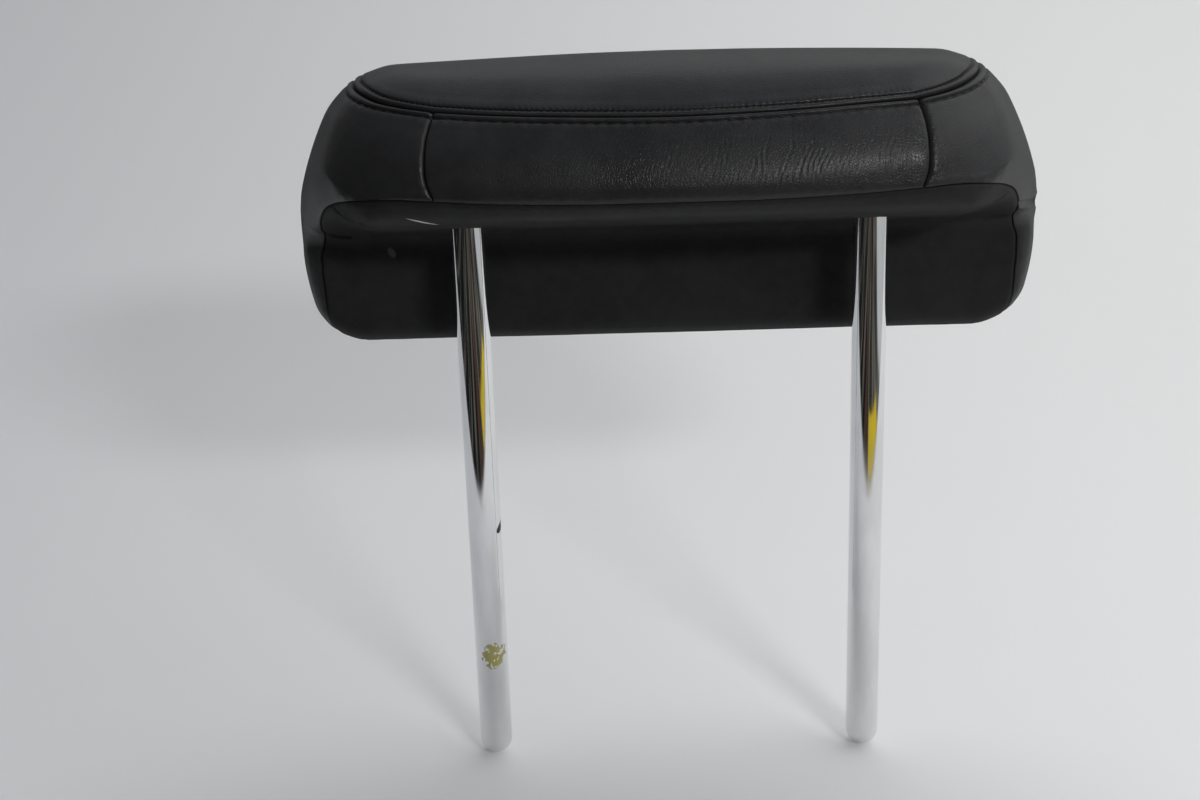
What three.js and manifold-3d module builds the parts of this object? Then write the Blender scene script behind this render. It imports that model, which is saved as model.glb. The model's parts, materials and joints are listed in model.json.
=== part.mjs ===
// A low, wide car headrest: a leather cushion on a bent chrome stay whose two posts drop into the seat.
// Millimetres. +Z is up along the posts, +Y points to the occupant, and X runs across the cushion.
// The origin is midway between the posts, level with the line where they enter the cushion's underside.
import * as THREE from "three";
import { mergeVertices } from "three/addons/utils/BufferGeometryUtils.js";
import Module from "manifold-3d";

const wasm = await Module();
wasm.setup();

// Cushion, overall
const HALF_WIDTH = 132.9;
const WIDEST_Z = -14;
const WIDEST_Y = 25;
const SIDE_UPPER_RADIUS = 99;
const SIDE_LOWER_RADIUS = 86.2;
const SIDE_BOW_RADIUS = 83.33;
const CREST_Z = 57;
const CREST_Y = 8;
const CREST_ARCH_RADIUS = 64.94;
const CREST_FALL_RADIUS = 2083;
const REAR_Y = -42;
const REAR_Z = 16;
const REAR_BULGE_RADIUS = 50;
const REAR_BOW_RADIUS = 476.2;
const FRONT_Y = 57;
const FRONT_Z = -5;
const FRONT_BULGE_RADIUS = 277.8;
const FRONT_BOW_RADIUS = 1428.6;
const BOTTOM_Z = -50.5;

// The step behind the posts: an overhanging lip, and the drop panel under it
const UNDERSIDE_Z = -0.5;
const UNDERSIDE_SLOPE = 0.33;
const CORNER_RISE = 6.5;
const RISE_START_X = 99;
const RISE_SPAN = 18;
const RISE_DEPTH = 38;
const DROP_Y = 22;

// Edge radii of the cushion. Its rear edges at the sides go from square to round between two levels.
const R_REAR_SIDE = 24;
const R_FRONT_SIDE = 20;
const R_TOP = 16;
const R_LIP = 11;
const R_DROP = 8;
const R_BOTTOM = 15;
const R_CREASE = 5;
const SQUARE_Z = -6;
const ROUND_Z = 22;

// Cover, foam and the gaps between them
const COVER_THICKNESS = 2.9;
const GAP = 0.3;
const SEAM_GAP = 0.3;
const WELT_WIDTH = 3;
const WELT_HEIGHT = 0.55;
const SEAM_DEPTH = 0.9;
const SEAM_REACH = 0.9;
const STITCH_AWAY = 3.2;
const STITCH_DEPTH = 0.45;
const STITCH_REACH = 0.7;

// Stay
const POST_RADIUS = 6;
const POST_SPACING = 140;
const POST_TIP_Z = -215;
const BAR_Z = 32;
const BEND_RADIUS = 22;
const WALL = 1.5;
const VENT_RADIUS = 2;
const NOTCH_Z = -131;
const NOTCH_DEPTH = 1.3;
const NOTCH_HEIGHT = 3.2;
const NOTCH_TILT = 25;

// Moulded insert that grips the stay inside the foam
const INSERT_HALF_WIDTH = 94;
const INSERT_DEPTH = 14;
const INSERT_LOW_Z = 13;
const INSERT_HIGH_Z = 43;
const INSERT_WALL = 2.6;
const INSERT_CORNER = 9;
const RIB_THICKNESS = 2.4;
const RIB_X = [18, 50];
const COLLAR_WIDTH = 20;
const COLLAR_HEIGHT = 9;
const BOSS_X = 34;
const BOSS_Z = 19.5;
const END_BOSS_INSET = 10;
const BOSS_RADIUS = 4.4;
const SCREW_RADIUS = 2;
const SCREW_TIP_Y = 9.5;
const SCREW_HEAD_RADIUS = 3.4;
const SCREW_HEAD_HEIGHT = 2.2;
const SCREW_SLOT = 0.8;

const leather = new THREE.MeshStandardMaterial({ color: 0x1d1e20, roughness: 0.5, metalness: 0 });
const leatherMatte = new THREE.MeshStandardMaterial({ color: 0x17181a, roughness: 0.7, metalness: 0 });
const foam = new THREE.MeshStandardMaterial({ color: 0xc9b98a, roughness: 0.95, metalness: 0 });
const chrome = new THREE.MeshStandardMaterial({ color: 0xc8c9cc, roughness: 0.12, metalness: 1 });
const plastic = new THREE.MeshStandardMaterial({ color: 0x2b2c2e, roughness: 0.6, metalness: 0 });
const steel = new THREE.MeshStandardMaterial({ color: 0x8f9296, roughness: 0.35, metalness: 1 });

// Solids

function toSolid(geometry) {
  const bare = geometry.clone();
  bare.deleteAttribute("normal");
  bare.deleteAttribute("uv");
  const merged = mergeVertices(bare, 1e-4);
  return new wasm.Manifold(
    new wasm.Mesh({
      numProp: 3,
      vertProperties: new Float32Array(merged.attributes.position.array),
      triVerts: new Uint32Array(merged.index.array),
    }),
  );
}

function toGeometry(solid) {
  const mesh = solid.getMesh();
  const geometry = new THREE.BufferGeometry();
  const count = mesh.vertProperties.length / mesh.numProp;
  const positions = new Float32Array(count * 3);
  for (let i = 0; i < count; i++) {
    for (let k = 0; k < 3; k++) positions[3 * i + k] = mesh.vertProperties[i * mesh.numProp + k];
  }
  geometry.setAttribute("position", new THREE.BufferAttribute(positions, 3));
  geometry.setIndex(new THREE.BufferAttribute(new Uint32Array(mesh.triVerts), 1));
  return geometry;
}

function join(...solids) {
  return solids.reduce((sum, solid) => sum.add(solid));
}

function rodAlongY(radius, length, x, y, z, sides = 24) {
  return toSolid(new THREE.CylinderGeometry(radius, radius, length, sides).translate(x, y + length / 2, z));
}

function rodAlongZ(radius, lowZ, highZ, x, y, sides = 32) {
  const geometry = new THREE.CylinderGeometry(radius, radius, highZ - lowZ, sides);
  return toSolid(geometry.rotateX(Math.PI / 2).translate(x, y, (lowZ + highZ) / 2));
}

function block(lowX, highX, lowY, highY, lowZ, highZ) {
  const geometry = new THREE.BoxGeometry(highX - lowX, highY - lowY, highZ - lowZ);
  return toSolid(geometry.translate((lowX + highX) / 2, (lowY + highY) / 2, (lowZ + highZ) / 2));
}

// Rounded slab standing in the XZ plane, from lowY to highY
function slab(halfWidth, lowZ, highZ, corner, lowY, highY) {
  const shape = new THREE.Shape();
  shape.moveTo(-halfWidth + corner, lowZ);
  shape.lineTo(halfWidth - corner, lowZ);
  shape.absarc(halfWidth - corner, lowZ + corner, corner, -Math.PI / 2, 0, false);
  shape.lineTo(halfWidth, highZ - corner);
  shape.absarc(halfWidth - corner, highZ - corner, corner, 0, Math.PI / 2, false);
  shape.lineTo(-halfWidth + corner, highZ);
  shape.absarc(-halfWidth + corner, highZ - corner, corner, Math.PI / 2, Math.PI, false);
  shape.lineTo(-halfWidth, lowZ + corner);
  shape.absarc(-halfWidth + corner, lowZ + corner, corner, Math.PI, 1.5 * Math.PI, false);
  const geometry = new THREE.ExtrudeGeometry(shape, {
    depth: highY - lowY,
    bevelEnabled: false,
    curveSegments: 4,
  });
  return toSolid(geometry.rotateX(Math.PI / 2).translate(0, highY, 0));
}

// The cushion's form: a field that is negative inside, with rounded meetings between its faces

function roundMax(a, b, r) {
  return Math.min(-r, Math.max(a, b)) + Math.hypot(Math.max(r + a, 0), Math.max(r + b, 0));
}

function roundMin(a, b, r) {
  return Math.max(r, Math.min(a, b)) - Math.hypot(Math.max(r - a, 0), Math.max(r - b, 0));
}

// How far an arc of a radius has fallen, a distance from its crest
function sag(distance, radius) {
  return distance ** 2 / (2 * radius);
}

function field(x, y, z) {
  const ax = Math.abs(x);
  const sideRadius = z > WIDEST_Z ? SIDE_UPPER_RADIUS : SIDE_LOWER_RADIUS;
  const side = ax - HALF_WIDTH + sag(z - WIDEST_Z, sideRadius) + sag(y - WIDEST_Y, SIDE_BOW_RADIUS);
  const top = z - CREST_Z + sag(y - CREST_Y, CREST_ARCH_RADIUS) + sag(ax, CREST_FALL_RADIUS);
  const rear = REAR_Y + sag(z - REAR_Z, REAR_BULGE_RADIUS) + sag(ax, REAR_BOW_RADIUS) - y;
  const front = y - FRONT_Y + sag(z - FRONT_Z, FRONT_BULGE_RADIUS) + sag(ax, FRONT_BOW_RADIUS);
  const corner = CORNER_RISE * THREE.MathUtils.smoothstep(ax, RISE_START_X, RISE_START_X + RISE_SPAN);
  const rise = (corner * Math.max(DROP_Y - y, 0)) / RISE_DEPTH;
  const under = UNDERSIDE_Z - UNDERSIDE_SLOPE * y + rise - z;
  const shell = roundMax(roundMax(front, side, R_FRONT_SIDE), BOTTOM_Z - z, R_BOTTOM);
  const step = roundMin(roundMax(rear, under, R_LIP), DROP_Y - y, R_CREASE);
  const edge = THREE.MathUtils.lerp(R_DROP, R_REAR_SIDE, THREE.MathUtils.smoothstep(z, SQUARE_Z, ROUND_Z));
  return roundMax(roundMax(step, shell, edge), top, R_TOP);
}

// Every point of the cushion is seen from a short line inside it, its spine
const SPINE_Y = 0.65 * FRONT_Y;
const SPINE_Z = 0.32 * CREST_Z;
const SPINE_X = 0.61 * HALF_WIDTH;

function spineNear(p) {
  return new THREE.Vector3(THREE.MathUtils.clamp(p.x, -SPINE_X, SPINE_X), SPINE_Y, SPINE_Z);
}

function rayTo(p) {
  return p.clone().sub(spineNear(p)).normalize();
}

// Point on the spine's ray through p, where the field is -inset
function onForm(p, inset) {
  const spine = spineNear(p);
  const ray = rayTo(p);
  let near = 0;
  let far = 170;
  for (let step = 0; step < 30; step++) {
    const middle = (near + far) / 2;
    const q = spine.clone().addScaledVector(ray, middle);
    if (field(q.x, q.y, q.z) < -inset) near = middle;
    else far = middle;
  }
  return spine.addScaledVector(ray, near);
}

// Seams. Each is a smooth curve laid on the form, stored as a fine chain of points.

function placed([x, y, z]) {
  return new THREE.Vector3(x * HALF_WIDTH, y * FRONT_Y, z * CREST_Z);
}

function seam(points) {
  const curve = new THREE.CatmullRomCurve3(points.map(placed));
  return chain(curve.getSpacedPoints(160).map((p) => onForm(p, 0)));
}

function chain(points) {
  const along = [0];
  for (let i = 1; i < points.length; i++) along.push(along[i - 1] + points[i].distanceTo(points[i - 1]));
  return { points, along, length: along[along.length - 1] };
}

function mirrored(line) {
  return chain(line.points.map((p) => new THREE.Vector3(-p.x, p.y, p.z)));
}

function reversed(line) {
  return chain([...line.points].reverse());
}

function joined(...lines) {
  return chain(lines.flatMap((line, i) => (i ? line.points.slice(1) : line.points)));
}

// Point of a chain at a fraction of its length
function at(line, t) {
  const s = THREE.MathUtils.clamp(t, 0, 1) * line.length;
  let low = 0;
  let high = line.along.length - 1;
  while (high - low > 1) {
    const middle = (low + high) >> 1;
    if (line.along[middle] <= s) low = middle;
    else high = middle;
  }
  const span = line.along[high] - line.along[low];
  return line.points[low].clone().lerp(line.points[high], span > 0 ? (s - line.along[low]) / span : 0);
}

// Points of the seams, as shares of the half width across, and of the front's and the crest's reach
const CORNER_TOP = [0.5997, -0.3596, 0.8035];
const CORNER_LOW = [0.6035, -0.6123, 0.3333];
const CORNER_FRONT = [0.7525, 0.9474, -0.6667];
const CORNER_BOTTOM = [0.8728, 0.7368, -0.7719];
const TONGUE_TURN = [0.7848, -0.0088, 0.8518];
const LIP_TURN = [0.8616, -0.2018, 0.2281];

const shoulderSeam = seam([
  CORNER_TOP,
  [0.6847, -0.2632, 0.8193],
  [0.7411, -0.1579, 0.8333],
  TONGUE_TURN,
  [0.8089, 0.1404, 0.8596],
  [0.8202, 0.3509, 0.8544],
  [0.8239, 0.5614, 0.8246],
  [0.8277, 0.7544, 0.7193],
  [0.8277, 0.8596, 0.5263],
  [0.8164, 0.9298, 0.2632],
  [0.7976, 0.9649, -0.0526],
  [0.775, 0.9649, -0.3684],
  CORNER_FRONT,
]);
const rearSideSeam = seam([CORNER_TOP, [0.611, -0.5088, 0.6246], [0.617, -0.586, 0.4737], CORNER_LOW]);
const lipSeam = seam([
  CORNER_LOW,
  [0.6885, -0.5474, 0.3386],
  [0.76, -0.4737, 0.3228],
  [0.8164, -0.3509, 0.2877],
  LIP_TURN,
  [0.8849, -0.0965, 0.1754],
  [0.9097, 0.0088, 0.0877],
  [0.927, 0.1667, -0.0228],
  [0.936, 0.2982, -0.1123],
  [0.9406, 0.3772, -0.2105],
  [0.9398, 0.3895, -0.3509],
  [0.9368, 0.393, -0.5263],
  [0.9285, 0.4211, -0.7018],
  [0.909, 0.5088, -0.807],
  [0.8916, 0.6316, -0.8421],
  CORNER_BOTTOM,
]);
const mirrorX = ([x, y, z]) => [-x, y, z];
const rearTopSeam = seam([
  mirrorX(CORNER_TOP),
  [-0.4665, -0.414, 0.793],
  [-0.3009, -0.4596, 0.7807],
  [0, -0.4912, 0.7702],
  [0.3009, -0.4596, 0.7807],
  [0.4665, -0.414, 0.793],
  CORNER_TOP,
]);
const rearLowSeam = seam([
  mirrorX(CORNER_LOW),
  [-0.4514, -0.6596, 0.3228],
  [-0.2634, -0.6982, 0.3158],
  [0, -0.7193, 0.3158],
  [0.2634, -0.6982, 0.3158],
  [0.4514, -0.6596, 0.3228],
  CORNER_LOW,
]);
const frontLowSeam = seam([
  mirrorX(CORNER_FRONT),
  [-0.3762, 0.9825, -0.6667],
  [0, 1, -0.6667],
  [0.3762, 0.9825, -0.6667],
  CORNER_FRONT,
]);
const frontCornerSeam = seam([CORNER_FRONT, [0.8202, 0.8684, -0.7193], CORNER_BOTTOM]);

const welted = [rearTopSeam, shoulderSeam, mirrored(shoulderSeam)];
const plain = [rearSideSeam, mirrored(rearSideSeam), rearLowSeam, lipSeam, mirrored(lipSeam), frontLowSeam];

function distanceTo(lines, p) {
  let best = Infinity;
  for (const line of lines) {
    for (const q of line.points) best = Math.min(best, q.distanceToSquared(p));
  }
  return Math.sqrt(best);
}

// Height of the leather over the form: a groove in each seam, and a padded welt each side of a welted one
function relief(p) {
  const d = distanceTo(welted, p);
  const e = Math.min(d, distanceTo(plain, p));
  const groove = -SEAM_DEPTH * Math.exp(-((e / SEAM_REACH) ** 2));
  const welt = d < WELT_WIDTH ? WELT_HEIGHT * Math.sin((Math.PI * d) / WELT_WIDTH) : 0;
  const stitchLine = -STITCH_DEPTH * Math.exp(-(((d - STITCH_AWAY) / STITCH_REACH) ** 2));
  return groove + welt + stitchLine;
}

// A chain is cut in two where its seam turns
function fractionAt(line, point) {
  const target = onForm(placed(point), 0);
  let best = 0;
  for (let i = 0; i < line.points.length; i++) {
    if (line.points[i].distanceTo(target) < line.points[best].distanceTo(target)) best = i;
  }
  return line.along[best] / line.length;
}

function part(line, from, to) {
  const points = [];
  for (let i = 0; i <= 120; i++) points.push(at(line, from + ((to - from) * i) / 120));
  return chain(points);
}

const tongueAt = fractionAt(shoulderSeam, TONGUE_TURN);
const lipAt = fractionAt(lipSeam, LIP_TURN);

// Lines of a panel's grid, as fractions of an edge
const range = (n, from = 0, to = 1) => Array.from({ length: n + 1 }, (_, i) => from + ((to - from) * i) / n);
const TURN_STEPS = [0, 0.28, 0.52, 0.72, 0.87, 1];
const BACK_STEPS = 10;
const LIP_STEPS = [0, 0.035, 0.07, 0.11, 0.16, 0.23, 0.31, 0.38];
const CREASE_STEPS = [0.43, 0.46, 0.49, 0.53];
const DROP_STEPS = [0.6, 0.67, 0.73, 0.78, 0.83, 0.89, 0.95, 1];
const DOWN_STEPS = [...LIP_STEPS, ...CREASE_STEPS, ...DROP_STEPS];
const FORE_STEPS = range(DOWN_STEPS.length - 1);
const SIDE_STEPS = range(6);

// Lines of an edge that turns: those before the turn, then the rest
function turned(turn, rest) {
  return [...TURN_STEPS.map((f) => f * turn), ...rest.slice(1).map((f) => turn + f * (1 - turn))];
}

// Lines of a back edge that runs from turn to turn, with its middle stretch between two corners
function backLines(end, middle) {
  const bend = end / (2 * end + middle);
  const near = TURN_STEPS.map((f) => (1 - f) * bend).reverse();
  const far = [...near].reverse().map((f) => 1 - f);
  return [...near, ...range(BACK_STEPS, bend, 1 - bend).slice(1, -1), ...far];
}

// Extra lines close beside a seam. With even set, those between them are spread evenly.
const WELT_LINES = [1.5, 3.1, 4.6];
const SEAM_LINES = [1.8];
const ROUND_LINES = [1.8, 5, 8.5];

function withExtras(fractions, length, { first, last, even }) {
  const clear = SEAM_GAP / length;
  const start = [0, ...first].map((d) => clear + d / length);
  const end = [0, ...last].map((d) => 1 - clear - d / length).reverse();
  const low = even ? start[start.length - 1] : 0;
  const high = even ? end[0] : 1;
  const inside = fractions.slice(1, -1).map((f) => low + (high - low) * f);
  return [...start, ...inside, ...end];
}

// One sewn panel. Its four edges are chains: top and bottom run the same way, as left and right do.
// Across and down give its lines at the first and second edge they cross, and the extra lines at each end.
function panel({ top, bottom, left, right, across, down }) {
  const corners = [at(top, 0), at(top, 1), at(bottom, 0), at(bottom, 1)];
  const surface = (u, v) => {
    const p = new THREE.Vector3();
    p.addScaledVector(at(top, u), 1 - v).addScaledVector(at(bottom, u), v);
    p.addScaledVector(at(left, v), 1 - u).addScaledVector(at(right, v), u);
    p.addScaledVector(corners[0], -(1 - u) * (1 - v)).addScaledVector(corners[1], -u * (1 - v));
    p.addScaledVector(corners[2], -(1 - u) * v).addScaledVector(corners[3], -u * v);
    return onForm(p, 0);
  };
  const lines = (plan, t, length) => {
    const { at0, at1 = at0 } = plan;
    return withExtras(at0.map((f, i) => f + (at1[i] - f) * t), length, plan);
  };
  const samples = range(60);
  const widths = samples.map((v) => chain(range(24).map((u) => surface(u, v))).length);
  const widthAt = (v) => {
    const k = Math.min(Math.floor(v * 60), 59);
    return widths[k] + (widths[k + 1] - widths[k]) * (v * 60 - k);
  };
  const columns = lines(across, 0, 1).length;
  const rows = lines(down, 0, 1).length;
  const outer = [];
  const inner = [];
  for (let i = 0; i < columns; i++) {
    const column = (v) => surface(lines(across, v, widthAt(v))[i], v);
    const path = chain(samples.map(column));
    for (const f of lines(down, i / (columns - 1), path.length)) {
      const p = column(parameterAt(path, f));
      outer.push(p.clone().addScaledVector(rayTo(p), relief(p)));
      inner.push(onForm(p, 2 * COVER_THICKNESS));
    }
  }
  return skin(outer, inner, rows, columns);
}

// Share of a chain's steps passed at a fraction of its length
function parameterAt(line, fraction) {
  const s = fraction * line.length;
  let k = 0;
  while (k < line.along.length - 2 && line.along[k + 1] < s) k++;
  const step = (s - line.along[k]) / (line.along[k + 1] - line.along[k]);
  return (k + step) / (line.along.length - 1);
}

// Closed skin between two grids of points
function skin(outer, inner, columns, rows) {
  const count = columns * rows;
  const positions = [...outer, ...inner].flatMap((p) => [p.x, p.y, p.z]);
  const index = [];
  const quad = (a, b, c, d) => index.push(a, b, c, a, c, d);
  const outward = facesOut(outer, columns);
  for (let j = 0; j + 1 < rows; j++) {
    for (let i = 0; i + 1 < columns; i++) {
      const a = j * columns + i;
      const ring = [a, a + 1, a + 1 + columns, a + columns];
      const turned = outward ? ring : [...ring].reverse();
      quad(...turned);
      quad(...[...turned].reverse().map((k) => k + count));
    }
  }
  const rim = [];
  for (let i = 0; i + 1 < columns; i++) rim.push(i);
  for (let j = 0; j + 1 < rows; j++) rim.push(j * columns + columns - 1);
  for (let i = columns - 1; i > 0; i--) rim.push((rows - 1) * columns + i);
  for (let j = rows - 1; j > 0; j--) rim.push(j * columns);
  for (let k = 0; k < rim.length; k++) {
    const a = rim[k];
    const b = rim[(k + 1) % rim.length];
    if (outward) quad(b, a, a + count, b + count);
    else quad(a, b, b + count, a + count);
  }
  const geometry = new THREE.BufferGeometry();
  geometry.setAttribute("position", new THREE.BufferAttribute(new Float32Array(positions), 3));
  geometry.setIndex(index);
  return toSolid(geometry);
}

// True when a grid's quads, taken column then row, already face away from the spine
function facesOut(grid, columns) {
  const a = grid[0];
  const normal = grid[1].clone().sub(a).cross(grid[columns + 1].clone().sub(a));
  return normal.dot(rayTo(a)) > 0;
}

// Closed block inside the cover: rings round the spine, each end closed by a fan
function core(inset) {
  const turns = [];
  for (let degrees = -180; degrees < 180; degrees += degrees >= -138 && degrees < -108 ? 5 : 10) {
    turns.push(THREE.MathUtils.degToRad(degrees));
  }
  const leans = [14, 28, 42, 56, 72];
  const stations = [];
  for (const lean of [...leans].reverse()) stations.push({ x: -SPINE_X, lean: -lean });
  for (const f of range(8)) stations.push({ x: SPINE_X * (2 * f - 1), lean: 0 });
  for (const lean of leans) stations.push({ x: SPINE_X, lean });
  const cast = (x, ray) => onForm(new THREE.Vector3(x, SPINE_Y, SPINE_Z).add(ray), inset);
  const points = [];
  for (const { x, lean } of stations) {
    const tilt = THREE.MathUtils.degToRad(lean);
    for (const turn of turns) {
      const y = Math.cos(tilt) * Math.cos(turn);
      const z = Math.cos(tilt) * Math.sin(turn);
      points.push(cast(x, new THREE.Vector3(Math.sin(tilt), y, z)));
    }
  }
  const n = turns.length;
  const leftPole = points.push(cast(-SPINE_X, new THREE.Vector3(-1, 0, 0))) - 1;
  const rightPole = points.push(cast(SPINE_X, new THREE.Vector3(1, 0, 0))) - 1;
  const index = [];
  for (let s = 0; s + 1 < stations.length; s++) {
    for (let t = 0; t < n; t++) {
      const a = s * n + t;
      const b = s * n + ((t + 1) % n);
      index.push(a, b, b + n, a, b + n, a + n);
    }
  }
  const last = (stations.length - 1) * n;
  for (let t = 0; t < n; t++) {
    index.push(leftPole, (t + 1) % n, t);
    index.push(rightPole, last + t, last + ((t + 1) % n));
  }
  const geometry = new THREE.BufferGeometry();
  const positions = points.flatMap((p) => [p.x, p.y, p.z]);
  geometry.setAttribute("position", new THREE.BufferAttribute(new Float32Array(positions), 3));
  geometry.setIndex(index);
  return toSolid(geometry);
}

// Stay: a hairpin of tube. Its line is a chain of stations, close together only where it bends or is domed.
const POST_X = POST_SPACING / 2;
const BEND_STEPS = 7;
const DOME_STEPS = 3;

class StayLine extends THREE.Curve {
  constructor(tipZ, domeRadius) {
    super();
    const right = [];
    for (let i = 0; i <= DOME_STEPS; i++) {
      const angle = (0.93 * Math.PI * (DOME_STEPS - i)) / (2 * DOME_STEPS);
      right.push([POST_X, tipZ + domeRadius * (1 - Math.sin(angle))]);
    }
    right.push([POST_X, BAR_Z - BEND_RADIUS]);
    for (let i = 1; i <= BEND_STEPS; i++) {
      const angle = (Math.PI * i) / (2 * BEND_STEPS);
      const x = POST_X - BEND_RADIUS + BEND_RADIUS * Math.cos(angle);
      right.push([x, BAR_Z - BEND_RADIUS + BEND_RADIUS * Math.sin(angle)]);
    }
    const left = right.map(([x, z]) => [-x, z]).reverse();
    this.stations = [...right, ...left].map(([x, z]) => new THREE.Vector3(x, 0, z));
  }
  get steps() {
    return this.stations.length - 1;
  }
  getPoint(t) {
    return this.stations[Math.round(t * this.steps)].clone();
  }
  getPointAt(t) {
    return this.getPoint(t);
  }
  getTangentAt(t) {
    const i = Math.round(t * this.steps);
    const before = this.stations[Math.max(i - 1, 0)];
    const after = this.stations[Math.min(i + 1, this.steps)];
    const back = this.stations[i].clone().sub(before).normalize();
    const ahead = after.clone().sub(this.stations[i]).normalize();
    return back.add(ahead).normalize();
  }
}

// Rod of the stay's line. Below the start of its domes it narrows to a small flat end.
function stayRod(radius, tipZ, domeRadius, sides) {
  const line = new StayLine(tipZ, domeRadius);
  const shape = new THREE.Shape();
  shape.absarc(0, 0, radius, 0, 2 * Math.PI, false);
  const geometry = new THREE.ExtrudeGeometry(shape, {
    steps: line.steps,
    extrudePath: line,
    bevelEnabled: false,
    curveSegments: sides / 2,
  });
  const position = geometry.attributes.position;
  for (let i = 0; i < position.count; i++) {
    const depth = tipZ + domeRadius - position.getZ(i);
    if (depth <= 0) continue;
    const axisX = Math.sign(position.getX(i)) * POST_X;
    const shrink = Math.sqrt(Math.max(1 - (depth / domeRadius) ** 2, 0));
    position.setX(i, axisX + (position.getX(i) - axisX) * shrink);
    position.setY(i, position.getY(i) * shrink);
  }
  return toSolid(geometry);
}

function makeStay() {
  const outside = stayRod(POST_RADIUS, POST_TIP_Z, POST_RADIUS, 20);
  const bore = stayRod(POST_RADIUS - WALL, POST_TIP_Z + WALL, POST_RADIUS - WALL, 12);
  const vent = rodAlongZ(VENT_RADIUS, BAR_Z, BAR_Z + 2 * POST_RADIUS, 0, 0, 16);
  const cutter = new THREE.CylinderGeometry(NOTCH_HEIGHT / 2, NOTCH_HEIGHT / 2, 4 * POST_RADIUS, 16);
  cutter.rotateX(THREE.MathUtils.degToRad(NOTCH_TILT));
  const notchX = -POST_X + POST_RADIUS + NOTCH_HEIGHT / 2 - NOTCH_DEPTH;
  return outside.subtract(join(bore, vent, toSolid(cutter.translate(notchX, 0, NOTCH_Z))));
}

// Room that the other pieces leave for the stay
const stayRoom = stayRod(POST_RADIUS + GAP, POST_TIP_Z - GAP, POST_RADIUS + GAP, 20);

// Insert: two moulded halves, ribbed, screwed together round the stay's bar

function screwPlaces() {
  const inner = [BOSS_X, BOSS_Z];
  const outer = [INSERT_HALF_WIDTH - END_BOSS_INSET, (INSERT_LOW_Z + INSERT_HIGH_Z) / 2];
  return [outer, inner].map(([x, z]) => [-x, z]).concat([inner, outer]);
}

function makeInsertHalf(sign) {
  const wall = INSERT_WALL;
  const low = INSERT_LOW_Z;
  const high = INSERT_HIGH_Z;
  const split = GAP / 2;
  const between = (a, b) => (sign > 0 ? [a, b] : [-b, -a]);
  const outside = slab(INSERT_HALF_WIDTH, low, high, INSERT_CORNER, ...between(split, INSERT_DEPTH));
  const hollow = slab(
    INSERT_HALF_WIDTH - wall,
    low + wall,
    high - wall,
    INSERT_CORNER - wall,
    ...between(split - 1, INSERT_DEPTH - wall),
  );
  const [nearY, farY] = between(split, INSERT_DEPTH - wall / 2);
  const stiffeners = [];
  for (const x of RIB_X.flatMap((x) => [-x, x])) {
    const ribLow = x - RIB_THICKNESS / 2;
    stiffeners.push(block(ribLow, ribLow + RIB_THICKNESS, nearY, farY, low + wall / 2, high - wall / 2));
  }
  for (const x of [-POST_X, POST_X]) {
    const collarHigh = low + wall / 2 + COLLAR_HEIGHT;
    const reach = COLLAR_WIDTH / 2;
    stiffeners.push(block(x - reach, x + reach, nearY, farY, low + wall / 2, collarHigh));
  }
  for (const [x, z] of screwPlaces()) {
    stiffeners.push(rodAlongY(BOSS_RADIUS, farY - nearY, x, nearY, z, 14));
  }
  const screwRoom = screwPlaces().map((place) => screwAt(place, GAP));
  return join(outside.subtract(hollow), ...stiffeners).subtract(join(stayRoom, ...screwRoom));
}

// Screw along Y, head to the rear. Spare widens it all over.
function screwAt([x, z], spare) {
  const headY = -INSERT_DEPTH + GAP - (spare ? 3 : 0);
  const shoulderY = -INSERT_DEPTH + GAP + SCREW_HEAD_HEIGHT + spare;
  const profile = [
    [0, headY],
    [SCREW_HEAD_RADIUS + spare, headY],
    [SCREW_HEAD_RADIUS + spare, shoulderY],
    [SCREW_RADIUS + spare / 2, shoulderY],
    [SCREW_RADIUS + spare / 2, SCREW_TIP_Y - 1.5 + spare],
    [0.6, SCREW_TIP_Y + spare],
    [0, SCREW_TIP_Y + spare],
  ];
  const lathe = new THREE.LatheGeometry(profile.map(([r, y]) => new THREE.Vector2(r, y)), 14);
  const body = toSolid(lathe.translate(x, 0, z));
  if (spare) return body;
  const slot = (a, b) => block(x - a, x + a, headY - 1, headY + 1, z - b, z + b);
  const reach = SCREW_HEAD_RADIUS * 0.6;
  return body.subtract(join(slot(SCREW_SLOT / 2, reach), slot(reach, SCREW_SLOT / 2)));
}

// Assembly

const object = new THREE.Group();
object.name = "headrest";

function addPiece(name, solid, material) {
  const mesh = new THREE.Mesh(toGeometry(solid), material);
  mesh.name = name;
  object.add(mesh);
}

addPiece("stay", makeStay(), chrome);
addPiece("insert_front", makeInsertHalf(1), plastic);
addPiece("insert_rear", makeInsertHalf(-1), plastic);
screwPlaces().forEach((place, i) => addPiece(`insert_screw_${i + 1}`, screwAt(place, 0), steel));

const insertRoom = slab(
  INSERT_HALF_WIDTH + GAP,
  INSERT_LOW_Z - GAP,
  INSERT_HIGH_Z + GAP,
  INSERT_CORNER + GAP,
  -INSERT_DEPTH - GAP,
  INSERT_DEPTH + GAP,
);
addPiece("foam_core", core(COVER_THICKNESS + GAP).subtract(join(insertRoom, stayRoom)), foam);

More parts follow.
